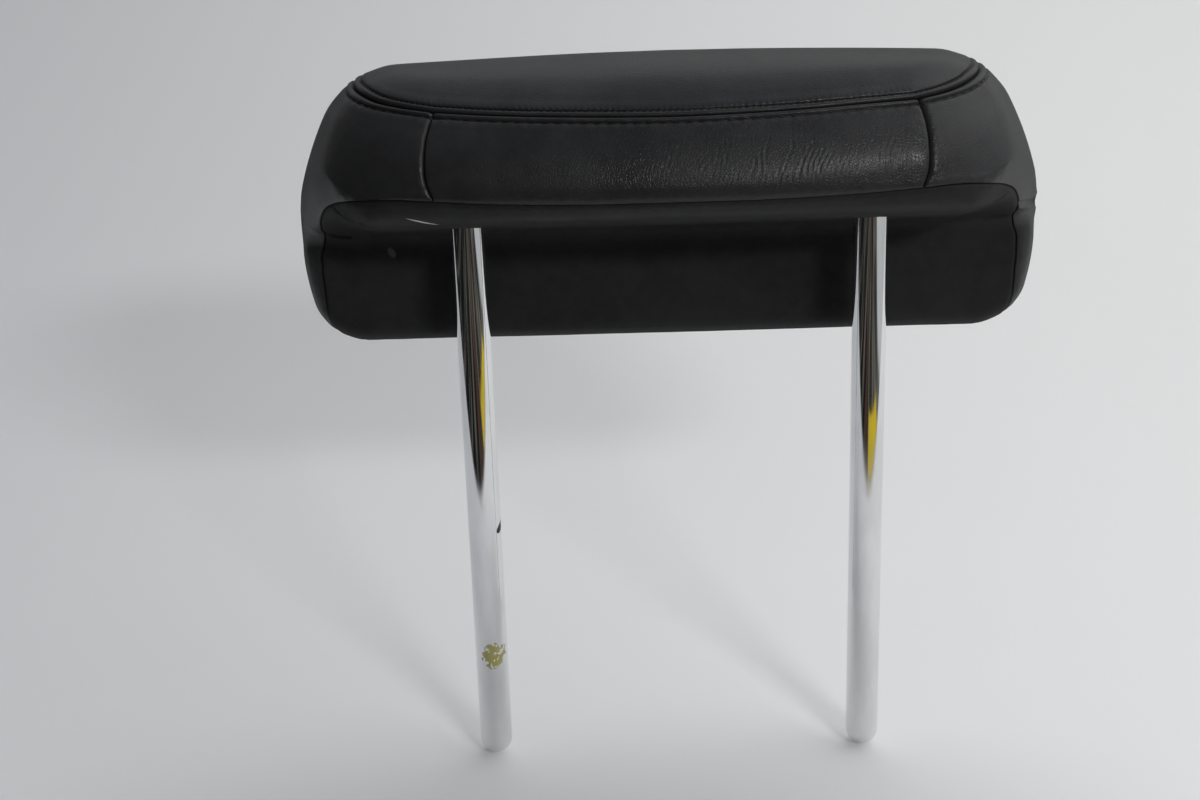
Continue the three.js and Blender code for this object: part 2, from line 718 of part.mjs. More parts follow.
const foamRoom = core(COVER_THICKNESS);
const addCover = (name, edges, material) => {
  addPiece(name, panel(edges).subtract(join(foamRoom, stayRoom)), material);
};
const tongueBack = joined(
  reversed(mirrored(part(shoulderSeam, 0, tongueAt))),
  rearTopSeam,
  part(shoulderSeam, 0, tongueAt),
);
const lipBack = joined(reversed(mirrored(part(lipSeam, 0, lipAt))), rearLowSeam, part(lipSeam, 0, lipAt));
const tongueSide = part(shoulderSeam, tongueAt, 1);
const lipSide = part(lipSeam, lipAt, 1);
addCover(
  "cover_centre",
  {
    top: tongueBack,
    bottom: frontLowSeam,
    left: mirrored(tongueSide),
    right: tongueSide,
    across: {
      at0: backLines(shoulderSeam.length * tongueAt, rearTopSeam.length),
      first: WELT_LINES,
      last: WELT_LINES,
    },
    down: { at0: FORE_STEPS, first: WELT_LINES, last: SEAM_LINES },
  },
  leather,
);
addCover(
  "cover_rear",
  {
    top: rearTopSeam,
    bottom: rearLowSeam,
    left: mirrored(rearSideSeam),
    right: rearSideSeam,
    across: { at0: range(BACK_STEPS), first: SEAM_LINES, last: SEAM_LINES },
    down: { at0: SIDE_STEPS, first: WELT_LINES, last: SEAM_LINES, even: true },
  },
  leather,
);
const sideEdges = {
  top: shoulderSeam,
  bottom: lipSeam,
  left: rearSideSeam,
  right: frontCornerSeam,
  across: {
    at0: turned(tongueAt, FORE_STEPS),
    at1: turned(lipAt, DOWN_STEPS),
    first: SEAM_LINES,
    last: SEAM_LINES,
  },
  down: { at0: SIDE_STEPS, first: WELT_LINES, last: ROUND_LINES, even: true },
};
addCover("cover_side_right", sideEdges, leather);
addCover(
  "cover_side_left",
  {
    ...sideEdges,
    top: mirrored(shoulderSeam),
    bottom: mirrored(lipSeam),
    left: mirrored(rearSideSeam),
    right: mirrored(frontCornerSeam),
  },
  leather,
);
addCover(
  "cover_underside",
  {
    top: lipBack,
    bottom: joined(reversed(mirrored(frontCornerSeam)), frontLowSeam, frontCornerSeam),
    left: mirrored(lipSide),
    right: lipSide,
    across: {
      at0: backLines(lipSeam.length * lipAt, rearLowSeam.length),
      first: SEAM_LINES,
      last: SEAM_LINES,
    },
    down: { at0: DOWN_STEPS, first: SEAM_LINES, last: SEAM_LINES },
  },
  leatherMatte,
);

export default object;
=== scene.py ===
import json
import math

import bpy
import numpy as np
from mathutils import Matrix, Vector
from mathutils.kdtree import KDTree

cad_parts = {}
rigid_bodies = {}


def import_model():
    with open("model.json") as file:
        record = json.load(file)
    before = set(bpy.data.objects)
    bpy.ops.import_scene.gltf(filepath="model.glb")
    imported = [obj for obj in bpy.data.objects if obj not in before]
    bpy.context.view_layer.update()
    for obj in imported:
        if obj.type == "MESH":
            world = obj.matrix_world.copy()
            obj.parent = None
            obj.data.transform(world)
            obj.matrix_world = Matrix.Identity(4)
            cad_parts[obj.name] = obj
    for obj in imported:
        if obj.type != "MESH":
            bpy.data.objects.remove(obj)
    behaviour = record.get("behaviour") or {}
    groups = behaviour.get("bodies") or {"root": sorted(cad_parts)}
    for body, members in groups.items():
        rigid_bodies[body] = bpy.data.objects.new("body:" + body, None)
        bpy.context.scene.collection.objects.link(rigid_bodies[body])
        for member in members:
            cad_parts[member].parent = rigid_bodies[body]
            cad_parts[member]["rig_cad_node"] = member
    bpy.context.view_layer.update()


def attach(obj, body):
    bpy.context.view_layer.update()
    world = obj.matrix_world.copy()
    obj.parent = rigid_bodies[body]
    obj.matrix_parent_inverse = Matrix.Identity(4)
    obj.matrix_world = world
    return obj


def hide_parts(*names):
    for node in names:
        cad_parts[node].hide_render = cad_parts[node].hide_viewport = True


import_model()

# Lengths below are in millimetres. They become metres when a mesh is made.
MM = 0.001

# Cushion, overall
HALF_WIDTH = 132.9
WIDEST_Z = -14.0
WIDEST_Y = 25.0
SIDE_UPPER_RADIUS = 99.0
SIDE_LOWER_RADIUS = 86.2
SIDE_BOW_RADIUS = 83.33
CREST_Z = 57.0
CREST_Y = 8.0
CREST_ARCH_RADIUS = 64.94
CREST_FALL_RADIUS = 2083.0
REAR_Y = -42.0
REAR_Z = 16.0
REAR_BULGE_RADIUS = 50.0
REAR_BOW_RADIUS = 476.2
FRONT_Y = 57.0
FRONT_Z = -5.0
FRONT_BULGE_RADIUS = 277.8
FRONT_BOW_RADIUS = 1428.6
BOTTOM_Z = -50.5
UNDERSIDE_Z = -0.5
UNDERSIDE_SLOPE = 0.33
CORNER_RISE = 6.5
RISE_START_X = 99.0
RISE_SPAN = 18.0
RISE_DEPTH = 38.0
DROP_Y = 22.0
R_REAR_SIDE = 24.0
R_FRONT_SIDE = 20.0
R_TOP = 16.0
R_LIP = 11.0
R_DROP = 8.0
R_BOTTOM = 15.0
R_CREASE = 5.0
SQUARE_Z = -20.0
ROUND_Z = 42.0
SPINE_X = 80.0
SPINE_Y = 37.0
SPINE_Z = 18.0

# Leather
SKIN = 2.5
HEM_DEPTH = 1.9
SEAM_GAP = 0.1
END_SEAM_DRIFT = 2.5
DRIFT_X = 80.0
DRIFT_SPAN = 14.0
SEAM_EDGE = 0.95
SEAM_ROLL = 0.45
WRINKLE_HEIGHT = 0.075
WRINKLE_PITCH = 1.7
WRINKLE_CROSS_PITCH = 2.3
ROW_BEHIND = 2.35
ROW_AT_ENDS = 3.2
ROW_WIDENS_AT = 85.0
ROW_WIDENS_OVER = 32.0
PITCH_CENTRE = 2.1
PITCH_OUTER = 4.3
STITCH_CENTRE = 1.4
STITCH_OUTER = 3.4
THREAD_RADIUS_CENTRE = 0.26
THREAD_RADIUS_OUTER = 0.27
STITCH_SINK = 0.12
STITCH_ARCH = 0.18
FAR_FROM_ROW = 9.0
FINE_REACH = 7.5
FINE_STEP = 0.6
FINEST_STEP = 0.42
BLOCK = 5

# Stay
POST_RADIUS = 6.0
POST_X = 70.0
POST_TIP_Z = -209.0
BAR_Z = 32.0
BEND_RADIUS = 22.0
NOTCH_Z = -113.0
NOTCH_DEPTH = 1.3
NOTCH_HEIGHT = 3.2
NOTCH_TILT = 25.0
NOTCH_X = -POST_X + POST_RADIUS + NOTCH_HEIGHT / 2 - NOTCH_DEPTH
DAUB_X = -69.0
DAUB_Z = -165.0

# Foam block and the room in it
FOAM_INSET = 3.3
STAY_CLEARANCE = 0.3
ROOM_HALF_WIDTH = 94.3
ROOM_LOW_Z = 12.7
ROOM_HIGH_Z = 43.3
ROOM_CORNER = 9.3
ROOM_HALF_DEPTH = 14.3

# Floor and camera
FLOOR_Z = POST_TIP_Z - 0.2
CAMERA_AT = (-14.63, -670.08, 193.88)
CAMERA_TURN = (21.17, 0.907, -1.537)
FOCAL_PIXELS = 2000.0
IMAGE_WIDTH = 1200.0


# Form

BEYOND_FORM = 170.0
HALVINGS = 25
NORMAL_STEP = 0.05


def round_max(a, b, r):
    """The larger value, rounded where both are near zero: a convex edge of radius r."""
    return np.minimum(-r, np.maximum(a, b)) + np.hypot(np.maximum(r + a, 0), np.maximum(r + b, 0))


def round_min(a, b, r):
    """The smaller value, rounded where both are near zero: a hollow edge of radius r."""
    return np.maximum(r, np.minimum(a, b)) - np.hypot(np.maximum(r - a, 0), np.maximum(r - b, 0))


def smooth(t):
    """Soft step from 0 to 1."""
    t = np.clip(t, 0, 1)
    return t * t * (3 - 2 * t)


def bell(t):
    """Soft hump of height 1."""
    return np.exp(-t * t)


def sag(distance, radius):
    """How far an arc has fallen, a distance from its crest."""
    return distance * distance / (2 * radius)


def field(p):
    """Negative inside the cushion: rounded faces joined with the radii above."""
    x, y, z = np.abs(p[:, 0]), p[:, 1], p[:, 2]
    side_radius = np.where(z > WIDEST_Z, SIDE_UPPER_RADIUS, SIDE_LOWER_RADIUS)
    side = x - HALF_WIDTH + sag(z - WIDEST_Z, side_radius) + sag(y - WIDEST_Y, SIDE_BOW_RADIUS)
    top = z - CREST_Z + sag(y - CREST_Y, CREST_ARCH_RADIUS) + sag(x, CREST_FALL_RADIUS)
    rear = REAR_Y + sag(z - REAR_Z, REAR_BULGE_RADIUS) + sag(x, REAR_BOW_RADIUS) - y
    front = y - FRONT_Y + sag(z - FRONT_Z, FRONT_BULGE_RADIUS) + sag(x, FRONT_BOW_RADIUS)
    corner = CORNER_RISE * smooth((x - RISE_START_X) / RISE_SPAN)
    under = UNDERSIDE_Z - UNDERSIDE_SLOPE * y + corner * np.maximum(DROP_Y - y, 0) / RISE_DEPTH - z
    shell = round_max(round_max(front, side, R_FRONT_SIDE), BOTTOM_Z - z, R_BOTTOM)
    step = round_min(round_max(rear, under, R_LIP), DROP_Y - y, R_CREASE)
    edge = R_DROP + (R_REAR_SIDE - R_DROP) * smooth((z - SQUARE_Z) / (ROUND_Z - SQUARE_Z))
    return round_max(round_max(step, shell, edge), top, R_TOP)


def on_form(p, inset=0.0):
    """Points where the rays from the cushion's spine through p meet the form, or lie inset under it."""
    p = np.asarray(p, float).reshape(-1, 3)
    spine = np.empty_like(p)
    spine[:, 0] = np.clip(p[:, 0], -SPINE_X, SPINE_X)
    spine[:, 1] = SPINE_Y
    spine[:, 2] = SPINE_Z
    ray = p - spine
    ray /= np.linalg.norm(ray, axis=1)[:, None]
    near = np.zeros(len(p))
    far = np.full(len(p), BEYOND_FORM)
    for _ in range(HALVINGS):
        middle = (near + far) / 2
        inside = field(spine + ray * middle[:, None]) < -inset
        near = np.where(inside, middle, near)
        far = np.where(inside, far, middle)
    return spine + ray * near[:, None]


def normals(p):
    """Outward unit normals of the form."""
    out = np.empty_like(p)
    for k in range(3):
        step = np.zeros(3)
        step[k] = NORMAL_STEP
        out[:, k] = field(p + step) - field(p - step)
    return out / np.linalg.norm(out, axis=1)[:, None]


# Smooth noise, the same each run

LATTICE_SIZE = 64
LATTICE = np.random.default_rng(7).uniform(-1, 1, (LATTICE_SIZE,) * 3)


def noise(p, size):
    """Smooth values from about -1 to 1 that change over the given size."""
    q = np.asarray(p, float) / size + 500.0
    base = np.floor(q).astype(int)
    f = q - base
    f = f * f * (3 - 2 * f)
    total = np.zeros(len(q))
    for corner in range(8):
        shift = np.array([corner & 1, corner >> 1 & 1, corner >> 2 & 1])
        weight = np.prod(np.where(shift == 1, f, 1 - f), axis=1)
        i, j, k = ((base + shift) % LATTICE_SIZE).T
        total += weight * LATTICE[i, j, k]
    return total


# Chains: curves on the form, kept as fine rows of points

CHAIN_POINTS = 240
CURVE_STEPS = 24


def drift(x):
    """The rear panel's end seams both sit a little to the right of their even places."""
    return END_SEAM_DRIFT * bell((np.abs(x) - DRIFT_X) / DRIFT_SPAN)


class Chain:
    """A row of points, read by the share of its length."""

    def __init__(self, points):
        self.points = np.asarray(points, float)
        steps = np.linalg.norm(np.diff(self.points, axis=0), axis=1)
        self.along = np.concatenate([[0], np.cumsum(steps)])
        self.length = self.along[-1]

    def at(self, t):
        s = np.clip(t, 0, 1) * self.length
        return np.stack([np.interp(s, self.along, self.points[:, k]) for k in range(3)], -1)

    def mirrored(self):
        p = self.points * [-1, 1, 1]
        p[:, 0] += 2 * drift(p[:, 0])
        return Chain(on_form(p))

    def reversed(self):
        return Chain(self.points[::-1])

    def part(self, start, end):
        return Chain(self.at(np.linspace(start, end, CHAIN_POINTS)))

    def nearest_fraction(self, point):
        target = on_form([point])[0]
        return self.along[np.argmin(np.linalg.norm(self.points - target, axis=1))] / self.length


def joined(*chains):
    """One chain from several that meet end to end."""
    return Chain(np.concatenate([c.points[min(i, 1):] for i, c in enumerate(chains)]))


def through(points):
    """Centripetal Catmull-Rom curve through the points."""
    p = np.asarray(points, float)
    p = np.concatenate([[2 * p[0] - p[1]], p, [2 * p[-1] - p[-2]]])
    out = []
    for a, b, c, d in zip(p[:-3], p[1:-2], p[2:-1], p[3:]):
        t0, t1, t2 = (np.linalg.norm(e) ** 0.5 for e in (b - a, c - b, d - c))
        m = ((b - a) / t0 - (c - a) / (t0 + t1) + (c - b) / t1) * t1
        n = ((c - b) / t1 - (d - b) / (t1 + t2) + (d - c) / t2) * t1
        t = np.linspace(0, 1, CURVE_STEPS, endpoint=False)[:, None]
        out.append(b + m * t + (3 * (c - b) - 2 * m - n) * t**2 + (2 * (b - c) + m + n) * t**3)
    return np.concatenate(out + [p[-2:-1]])


def seam(points):
    """Smooth chain on the form through the points."""
    p = Chain(through(points)).at(np.linspace(0, 1, CHAIN_POINTS))
    p[:, 0] += drift(p[:, 0])
    return Chain(on_form(p))


# Where seams meet or turn, on the right side
CORNER_TOP = (79.7, -20.5, 45.8)
CORNER_LOW = (80.2, -34.9, 19)
CORNER_FRONT = (100, 54, -38)
CORNER_BOTTOM = (116, 42, -44)
TONGUE_TURN = (104.3, -0.5, 48.55)
LIP_TURN = (114.5, -11.5, 13)


def mirror(point):
    """The same place on the left side."""
    return (-point[0], point[1], point[2])


shoulder_seam = seam([
    CORNER_TOP, (91, -15, 46.7), (98.5, -9, 47.5), TONGUE_TURN, (107.5, 8, 49), (109, 20, 48.7),
    (109.5, 32, 47), (110, 43, 41), (110, 49, 30), (108.5, 53, 15), (106, 55, -3), (103, 55, -21),
    CORNER_FRONT,
])
rear_side_seam = seam([CORNER_TOP, (81.9, -26, 39), (82.6, -31, 31.5), (82.2, -34, 25), CORNER_LOW])
lip_seam = seam([
    CORNER_LOW, (91.5, -31.2, 19.3), (101, -27, 18.4), (108.5, -20, 16.4), LIP_TURN,
    (117.6, -5.5, 10), (120.9, 0.5, 5), (123.2, 9.5, -1.3), (124.4, 17, -6.4), (125, 21.5, -12),
    (124.9, 22.2, -20), (124.5, 22.4, -30), (123.4, 24, -40), (120.8, 29, -46), (118.5, 36, -48),
    CORNER_BOTTOM,
])
rear_top_seam = seam([
    mirror(CORNER_TOP), (-62, -23.6, 45.2), (-40, -26.2, 44.5), (0, -28, 43.9), (40, -26.2, 44.5),
    (62, -23.6, 45.2), CORNER_TOP,
])
rear_low_seam = seam([
    mirror(CORNER_LOW), (-60, -37.6, 18.4), (-35, -39.8, 18), (0, -41, 18), (35, -39.8, 18),
    (60, -37.6, 18.4), CORNER_LOW,
])
front_low_seam = seam([mirror(CORNER_FRONT), (-50, 56, -38), (0, 57, -38), (50, 56, -38), CORNER_FRONT])
front_corner_seam = seam([CORNER_FRONT, (109, 49.5, -41), CORNER_BOTTOM])

welted_seam = joined(shoulder_seam.mirrored().reversed(), rear_top_seam, shoulder_seam)
plain_seams = [
    rear_side_seam,
    rear_side_seam.mirrored(),
    joined(lip_seam.mirrored().reversed(), rear_low_seam, lip_seam),
    joined(front_corner_seam.mirrored().reversed(), front_low_seam, front_corner_seam),
]


class Finder:
    """Distance from points to a set of chains, and how far along its chain the nearest place is."""

    def __init__(self, chains, step=0.5):
        rows, along, ends = [], [], []
        for chain in chains:
            count = max(int(chain.length / step), 4)
            rows.append(chain.at(np.linspace(0, 1, count)))
            along.append(np.linspace(0, chain.length, count))
            ends.append(np.arange(count) == count - 1)
        self.points = np.concatenate(rows)
        self.along = np.concatenate(along)
        self.ends = np.concatenate(ends)
        self.tree = KDTree(len(self.points))
        for i, p in enumerate(self.points):
            self.tree.insert(p, i)
        self.tree.balance()

    def find(self, p):
        near = np.array([self.tree.find(q)[1] for q in p])
        best = np.full(len(p), np.inf)
        where = np.zeros(len(p))
        for first in (np.maximum(near - 1, 0), near):
            first = np.where(self.ends[first], np.maximum(first - 1, 0), first)
            a, b = self.points[first], self.points[first + 1]
            d = b - a
            t = np.clip(((p - a) * d).sum(1) / (d * d).sum(1), 0, 1)
            gap = np.linalg.norm(p - a - d * t[:, None], axis=1)
            s = self.along[first] + t * (self.along[first + 1] - self.along[first])
            where = np.where(gap < best, s, where)
            best = np.minimum(best, gap)
        return best, where


welted_finder = Finder([welted_seam])
plain_finder = Finder(plain_seams)
MIDDLE_OF_WELT = welted_seam.length / 2


# Relief: how far the leather stands over the form

WELT_GROWS_AT = 45.0
WELT_GROWS_OVER = 60.0
WELT_SEAM_DEPTH = 0.45
WELT_SEAM_DEEPER = 0.95
WELT_SEAM_WIDTH = 0.42
WELT_SEAM_WIDER = 0.2
WELT_HEIGHT = 0.38
WELT_HIGHER = 0.12
GROOVE_DEPTH = 0.85
GROOVE_WIDTH = 0.44
BANK_HEIGHT = 0.16
BANK_AWAY = 2.0
BANK_WIDTH = 1.7
PULL_HEIGHT = 0.1
PULL_HIGHER = 0.04
PULL_ON_WELT = 0.07
REAR_LEFT_X = -78.0
REAR_RIGHT_X = 83.0
REAR_END_REACH = 7.0
LIP_Z = 20.0
LIP_BLEND = 3.0
SEAM_BANK_HEIGHT = 0.12
SEAM_BANK_AWAY = 1.9
SEAM_BANK_WIDTH = 1.3
PUCKER_DEPTH = 0.06
PUCKER_PITCH = 3.1
RIPPLE_HEIGHT = 0.05
RIPPLE_PITCH = 5.2
FOLD_REACH = 8.0
FOLD_FADE = 5.0


def row_away(s):
    """Distance of the stitch rows from the welted seam, at lengths along the seam."""
    widened = smooth((np.abs(s - MIDDLE_OF_WELT) - ROW_WIDENS_AT) / ROW_WIDENS_OVER)
    return ROW_BEHIND + (ROW_AT_ENDS - ROW_BEHIND) * widened


class Fold:
    """A soft crease along a chain, with leather pushed up beside it."""

    def __init__(self, points, depth, width, lift):
        chain = seam(points)
        self.finder = Finder([chain])
        self.length = chain.length
        self.depth, self.width, self.lift = depth, width, lift
        self.low, self.high = chain.points.min(0) - FOLD_REACH, chain.points.max(0) + FOLD_REACH

    def height(self, p):
        h = np.zeros(len(p))
        near = np.all((p > self.low) & (p < self.high), axis=1)
        if near.any():
            gap, s = self.finder.find(p[near])
            ends = smooth(s / FOLD_FADE) * smooth((self.length - s) / FOLD_FADE)
            dent = self.depth * np.exp(-((gap / self.width) ** 1.4))
            h[near] = ends * (self.lift * bell((gap - 2.2 * self.width) / (1.3 * self.width)) - dent)
        return h


folds = {
    "underside": [
        Fold(
            [
                (-124, 17, -5.5), (-118.9, 19.9, -7.6), (-107.8, 20.5, -8.6), (-88.9, 19.1, -7.3),
                (-78, 18, -6.6),
            ],
            depth=1.0, width=0.5, lift=0.15,
        ),
        Fold(
            [(124.6, 18.9, -6.6), (117.4, 19.6, -7.3), (109.7, 20, -7.9), (94, 20.2, -8.4)],
            depth=0.8, width=0.6, lift=0.15,
        ),
        Fold(
            [
                (-114, -12, 14.2), (-113.1, -11.5, 11.4), (-110.5, -12.1, 8.3), (-106, -16, 7.6),
                (-101, -24, 9.4),
            ],
            depth=0.95, width=0.75, lift=0.3,
        ),
        Fold(
            [(114.2, -9.6, 11), (113.1, -8.5, 7.8), (109.5, -8.1, 5.4), (104, -10, 5)],
            depth=0.6, width=1.0, lift=0.35,
        ),
    ],
    "side": [
        Fold(
            [(121, 3, 2.2), (124.6, 7.3, 1), (129, 14.7, -0.6), (131, 24, -2.4), (131, 34, -4)],
            depth=1.0, width=1.2, lift=0.5,
        ),
    ],
}


def rear_wrinkles(p):
    """Fine upright creases that branch and lean, strongest low on the right."""
    x, z = p[:, 0], p[:, 2]
    lean = x - 0.3 * z + 1.5 * noise(p * [1, 1, 0.6], 5.0)
    cross = x + 0.15 * z + noise(p, 3.0)
    wave = np.sin(2 * np.pi * lean / WRINKLE_PITCH) + 0.5 * np.sin(2 * np.pi * cross / WRINKLE_CROSS_PITCH)
    flow = np.stack([lean, p[:, 1] * 0.3, z * 0.45], 1)
    wave = wave * smooth(0.6 + 1.2 * noise(flow, 2.6))
    grow = 0.25 * smooth((x + 60) / 40) + 0.75 * smooth((x + 15) / 60)
    band = 0.35 * smooth((z - 20) / 4) * smooth((42 - z) / 7) + 0.65 * bell((z - 29) / 6)
    patch = smooth(0.8 + 0.8 * noise(p, 12.0))
    return WRINKLE_HEIGHT * wave * grow * band * patch * smooth((82 - x) / 8)


def relief(p, kind):
    """Height in mm at points of the form, for a panel of the given kind."""
    welt, s = welted_finder.find(p)
    plain, t = plain_finder.find(p)
    x, z = p[:, 0], p[:, 2]

    # The welted seam: its middle line, the padded welts, the sunk stitch rows and the leather they pull
    ends = smooth((np.abs(s - MIDDLE_OF_WELT) - WELT_GROWS_AT) / WELT_GROWS_OVER)
    seam_depth = WELT_SEAM_DEPTH + WELT_SEAM_DEEPER * ends
    seam_width = WELT_SEAM_WIDTH + WELT_SEAM_WIDER * ends
    h = -seam_depth * np.exp(-((welt / seam_width) ** 1.4))
    if kind != "underside":
        row = row_away(s)
        soft = np.sin(np.pi * np.clip(welt / (row - 0.2), 0, 1))
        h += (WELT_HEIGHT + WELT_HIGHER * ends) * soft**0.8
        h -= GROOVE_DEPTH * bell((welt - row) / GROOVE_WIDTH)
        h += BANK_HEIGHT * bell((welt - row - BANK_AWAY) / BANK_WIDTH)
        pitch = PITCH_CENTRE if kind == "centre" else PITCH_OUTER
        pull = np.cos(2 * np.pi * s / pitch + 1.2 * noise(p, 6.0))
        strength = 0.75 + 0.5 * noise(p + 40, 8.0)
        reach = 1.0 if kind == "centre" else 0.8
        h += (PULL_HEIGHT + PULL_HIGHER * ends) * strength * pull * bell((welt - row - 0.8) / reach)
        h += PULL_ON_WELT * strength * pull * bell((welt - row + 0.7) / 0.5)

    # The plain seams: rolled edges, flat over the lip, thin at the rear's left end and wide at its right
    wander = 0.25 * noise(p, 7.0)
    above_lip = smooth((z - LIP_Z) / LIP_BLEND)
    left_end = bell((x - REAR_LEFT_X) / REAR_END_REACH) * above_lip
    right_end = bell((x - REAR_RIGHT_X) / REAR_END_REACH) * above_lip
    on_side = 1.0 if kind == "side" else 0.0
    by_lip = smooth((LIP_Z + 1 - z) / LIP_BLEND)
    over_lip = by_lip if kind in ("rear", "side") else 0.0
    depth = SEAM_EDGE + 0.2 * left_end + 0.5 * right_end * on_side
    depth *= (1 - 0.4 * by_lip) * (1 - 0.9 * over_lip)
    width = SEAM_ROLL - 0.12 * left_end + 0.45 * (right_end + left_end) * on_side - 0.15 * over_lip
    h -= depth * np.exp(-((plain / width) ** 1.3))
    bank = bell((plain - SEAM_BANK_AWAY - wander) / SEAM_BANK_WIDTH)
    h += SEAM_BANK_HEIGHT * (1 - left_end) * (1 - right_end) * bank
    if kind == "side":
        pucker = 0.5 + 0.5 * np.cos(2 * np.pi * t / PUCKER_PITCH + 1.5 * noise(p, 5.0))
        h -= PUCKER_DEPTH * right_end * pucker * bell((plain - SEAM_BANK_AWAY) / 0.9)
    ripple = np.cos(2 * np.pi * t / RIPPLE_PITCH + 2 * noise(p, 9.0))
    h += RIPPLE_HEIGHT * ripple * bell((plain - 1.4) / 1.2)

    # Wrinkles, folds and the skin's slow waves
    if kind == "rear":
        h += rear_wrinkles(p)
    for fold in folds.get(kind, []):
        h += fold.height(p)
    h += 0.16 * noise(p, 34.0) + 0.06 * noise(p + 90, 13.0)
    return h


# Panels

# Distances from a seam of the mesh's first lines, closer where the edge rolls and at the stitch row
NEAR_SEAM = np.array([0, 0.14, 0.32, 0.55, 0.85, 1.2, 1.6, 2.0, 2.4, 2.7, 2.95, 3.2, 3.45, 3.75, 4.1, 4.6])


def spread(length, count):
    """Distances along a line: close together beside its two seams and even between."""
    start = SEAM_GAP + NEAR_SEAM
    end = length - start[::-1]
    inside = np.linspace(start[-1], end[0], count + 1)[1:-1]
    return np.concatenate([start, inside, end])


def even_count(length, step):
    """Number of even steps, so that the panel's lines fall into whole blocks."""
    close = 2 * (len(NEAR_SEAM) - 1)
    count = max(int((length - 2 * NEAR_SEAM[-1]) / step), 4)
    return count + (-(count + close)) % BLOCK


# Guide lines of a patch each way, along which true lengths are measured
GUIDE_LINES = 91


class Surface:
    """A patch sewn between four chains: top and bottom run the same way, as left and right do."""

    def __init__(self, top, bottom, left, right):
        self.edges = (top, bottom, left, right)
        self.corners = [top.at(0), top.at(1), bottom.at(0), bottom.at(1)]

    def at(self, u, v):
        top, bottom, left, right = self.edges
        a, b, c, d = self.corners
        shape = np.broadcast(u, v).shape
        u, v = (np.broadcast_to(q, shape).ravel() for q in (u, v))
        p, q = u[:, None], v[:, None]
        mixed = top.at(u) * (1 - q) + bottom.at(u) * q + left.at(v) * (1 - p) + right.at(v) * p
        mixed -= a * (1 - p) * (1 - q) + b * p * (1 - q) + c * (1 - p) * q + d * p * q
        return on_form(mixed).reshape(*shape, 3)

    def grid(self, step):
        """Points of the patch's lines, [column, row], evenly spaced by true length."""
        us = vs = np.linspace(0, 1, GUIDE_LINES)
        base = self.at(us[None, :], vs[:, None])
        run = np.zeros((len(vs), len(us)))
        run[:, 1:] = np.cumsum(np.linalg.norm(np.diff(base, axis=1), axis=2), axis=1)
        columns = even_count(run[:, -1].max(), step)
        u_at = np.array([np.interp(spread(r[-1], columns), r, us) for r in run])
        paths = self.at(u_at, np.broadcast_to(vs[:, None], u_at.shape))
        fall = np.zeros(u_at.shape)
        fall[1:] = np.cumsum(np.linalg.norm(np.diff(paths, axis=0), axis=2), axis=0)
        rows = even_count(fall[-1].max(), step)
        v_ij = np.array([np.interp(spread(f[-1], rows), f, vs) for f in fall.T])
        u_ij = np.array([np.interp(v_ij[i], vs, u_at[:, i]) for i in range(len(v_ij))])
        return u_ij, v_ij


def make_object(name, vertices, faces, material):
    """Mesh object from points in mm."""
    mesh = bpy.data.meshes.new(name)
    mesh.from_pydata((np.asarray(vertices) * MM).tolist(), [], faces)
    mesh.update()
    mesh.polygons.foreach_set("use_smooth", [True] * len(mesh.polygons))
    obj = bpy.data.objects.new(name, mesh)
    bpy.context.collection.objects.link(obj)
    if material:
        mesh.materials.append(material)
    return obj


def boundary(columns, rows, step=1):
    """Grid places round the edge, in order."""
    ring = [(i, 0) for i in range(0, columns, step)]
    ring += [(columns, j) for j in range(0, rows, step)]
    ring += [(i, rows) for i in range(columns, 0, -step)]
    ring += [(0, j) for j in range(rows, 0, -step)]
    return ring


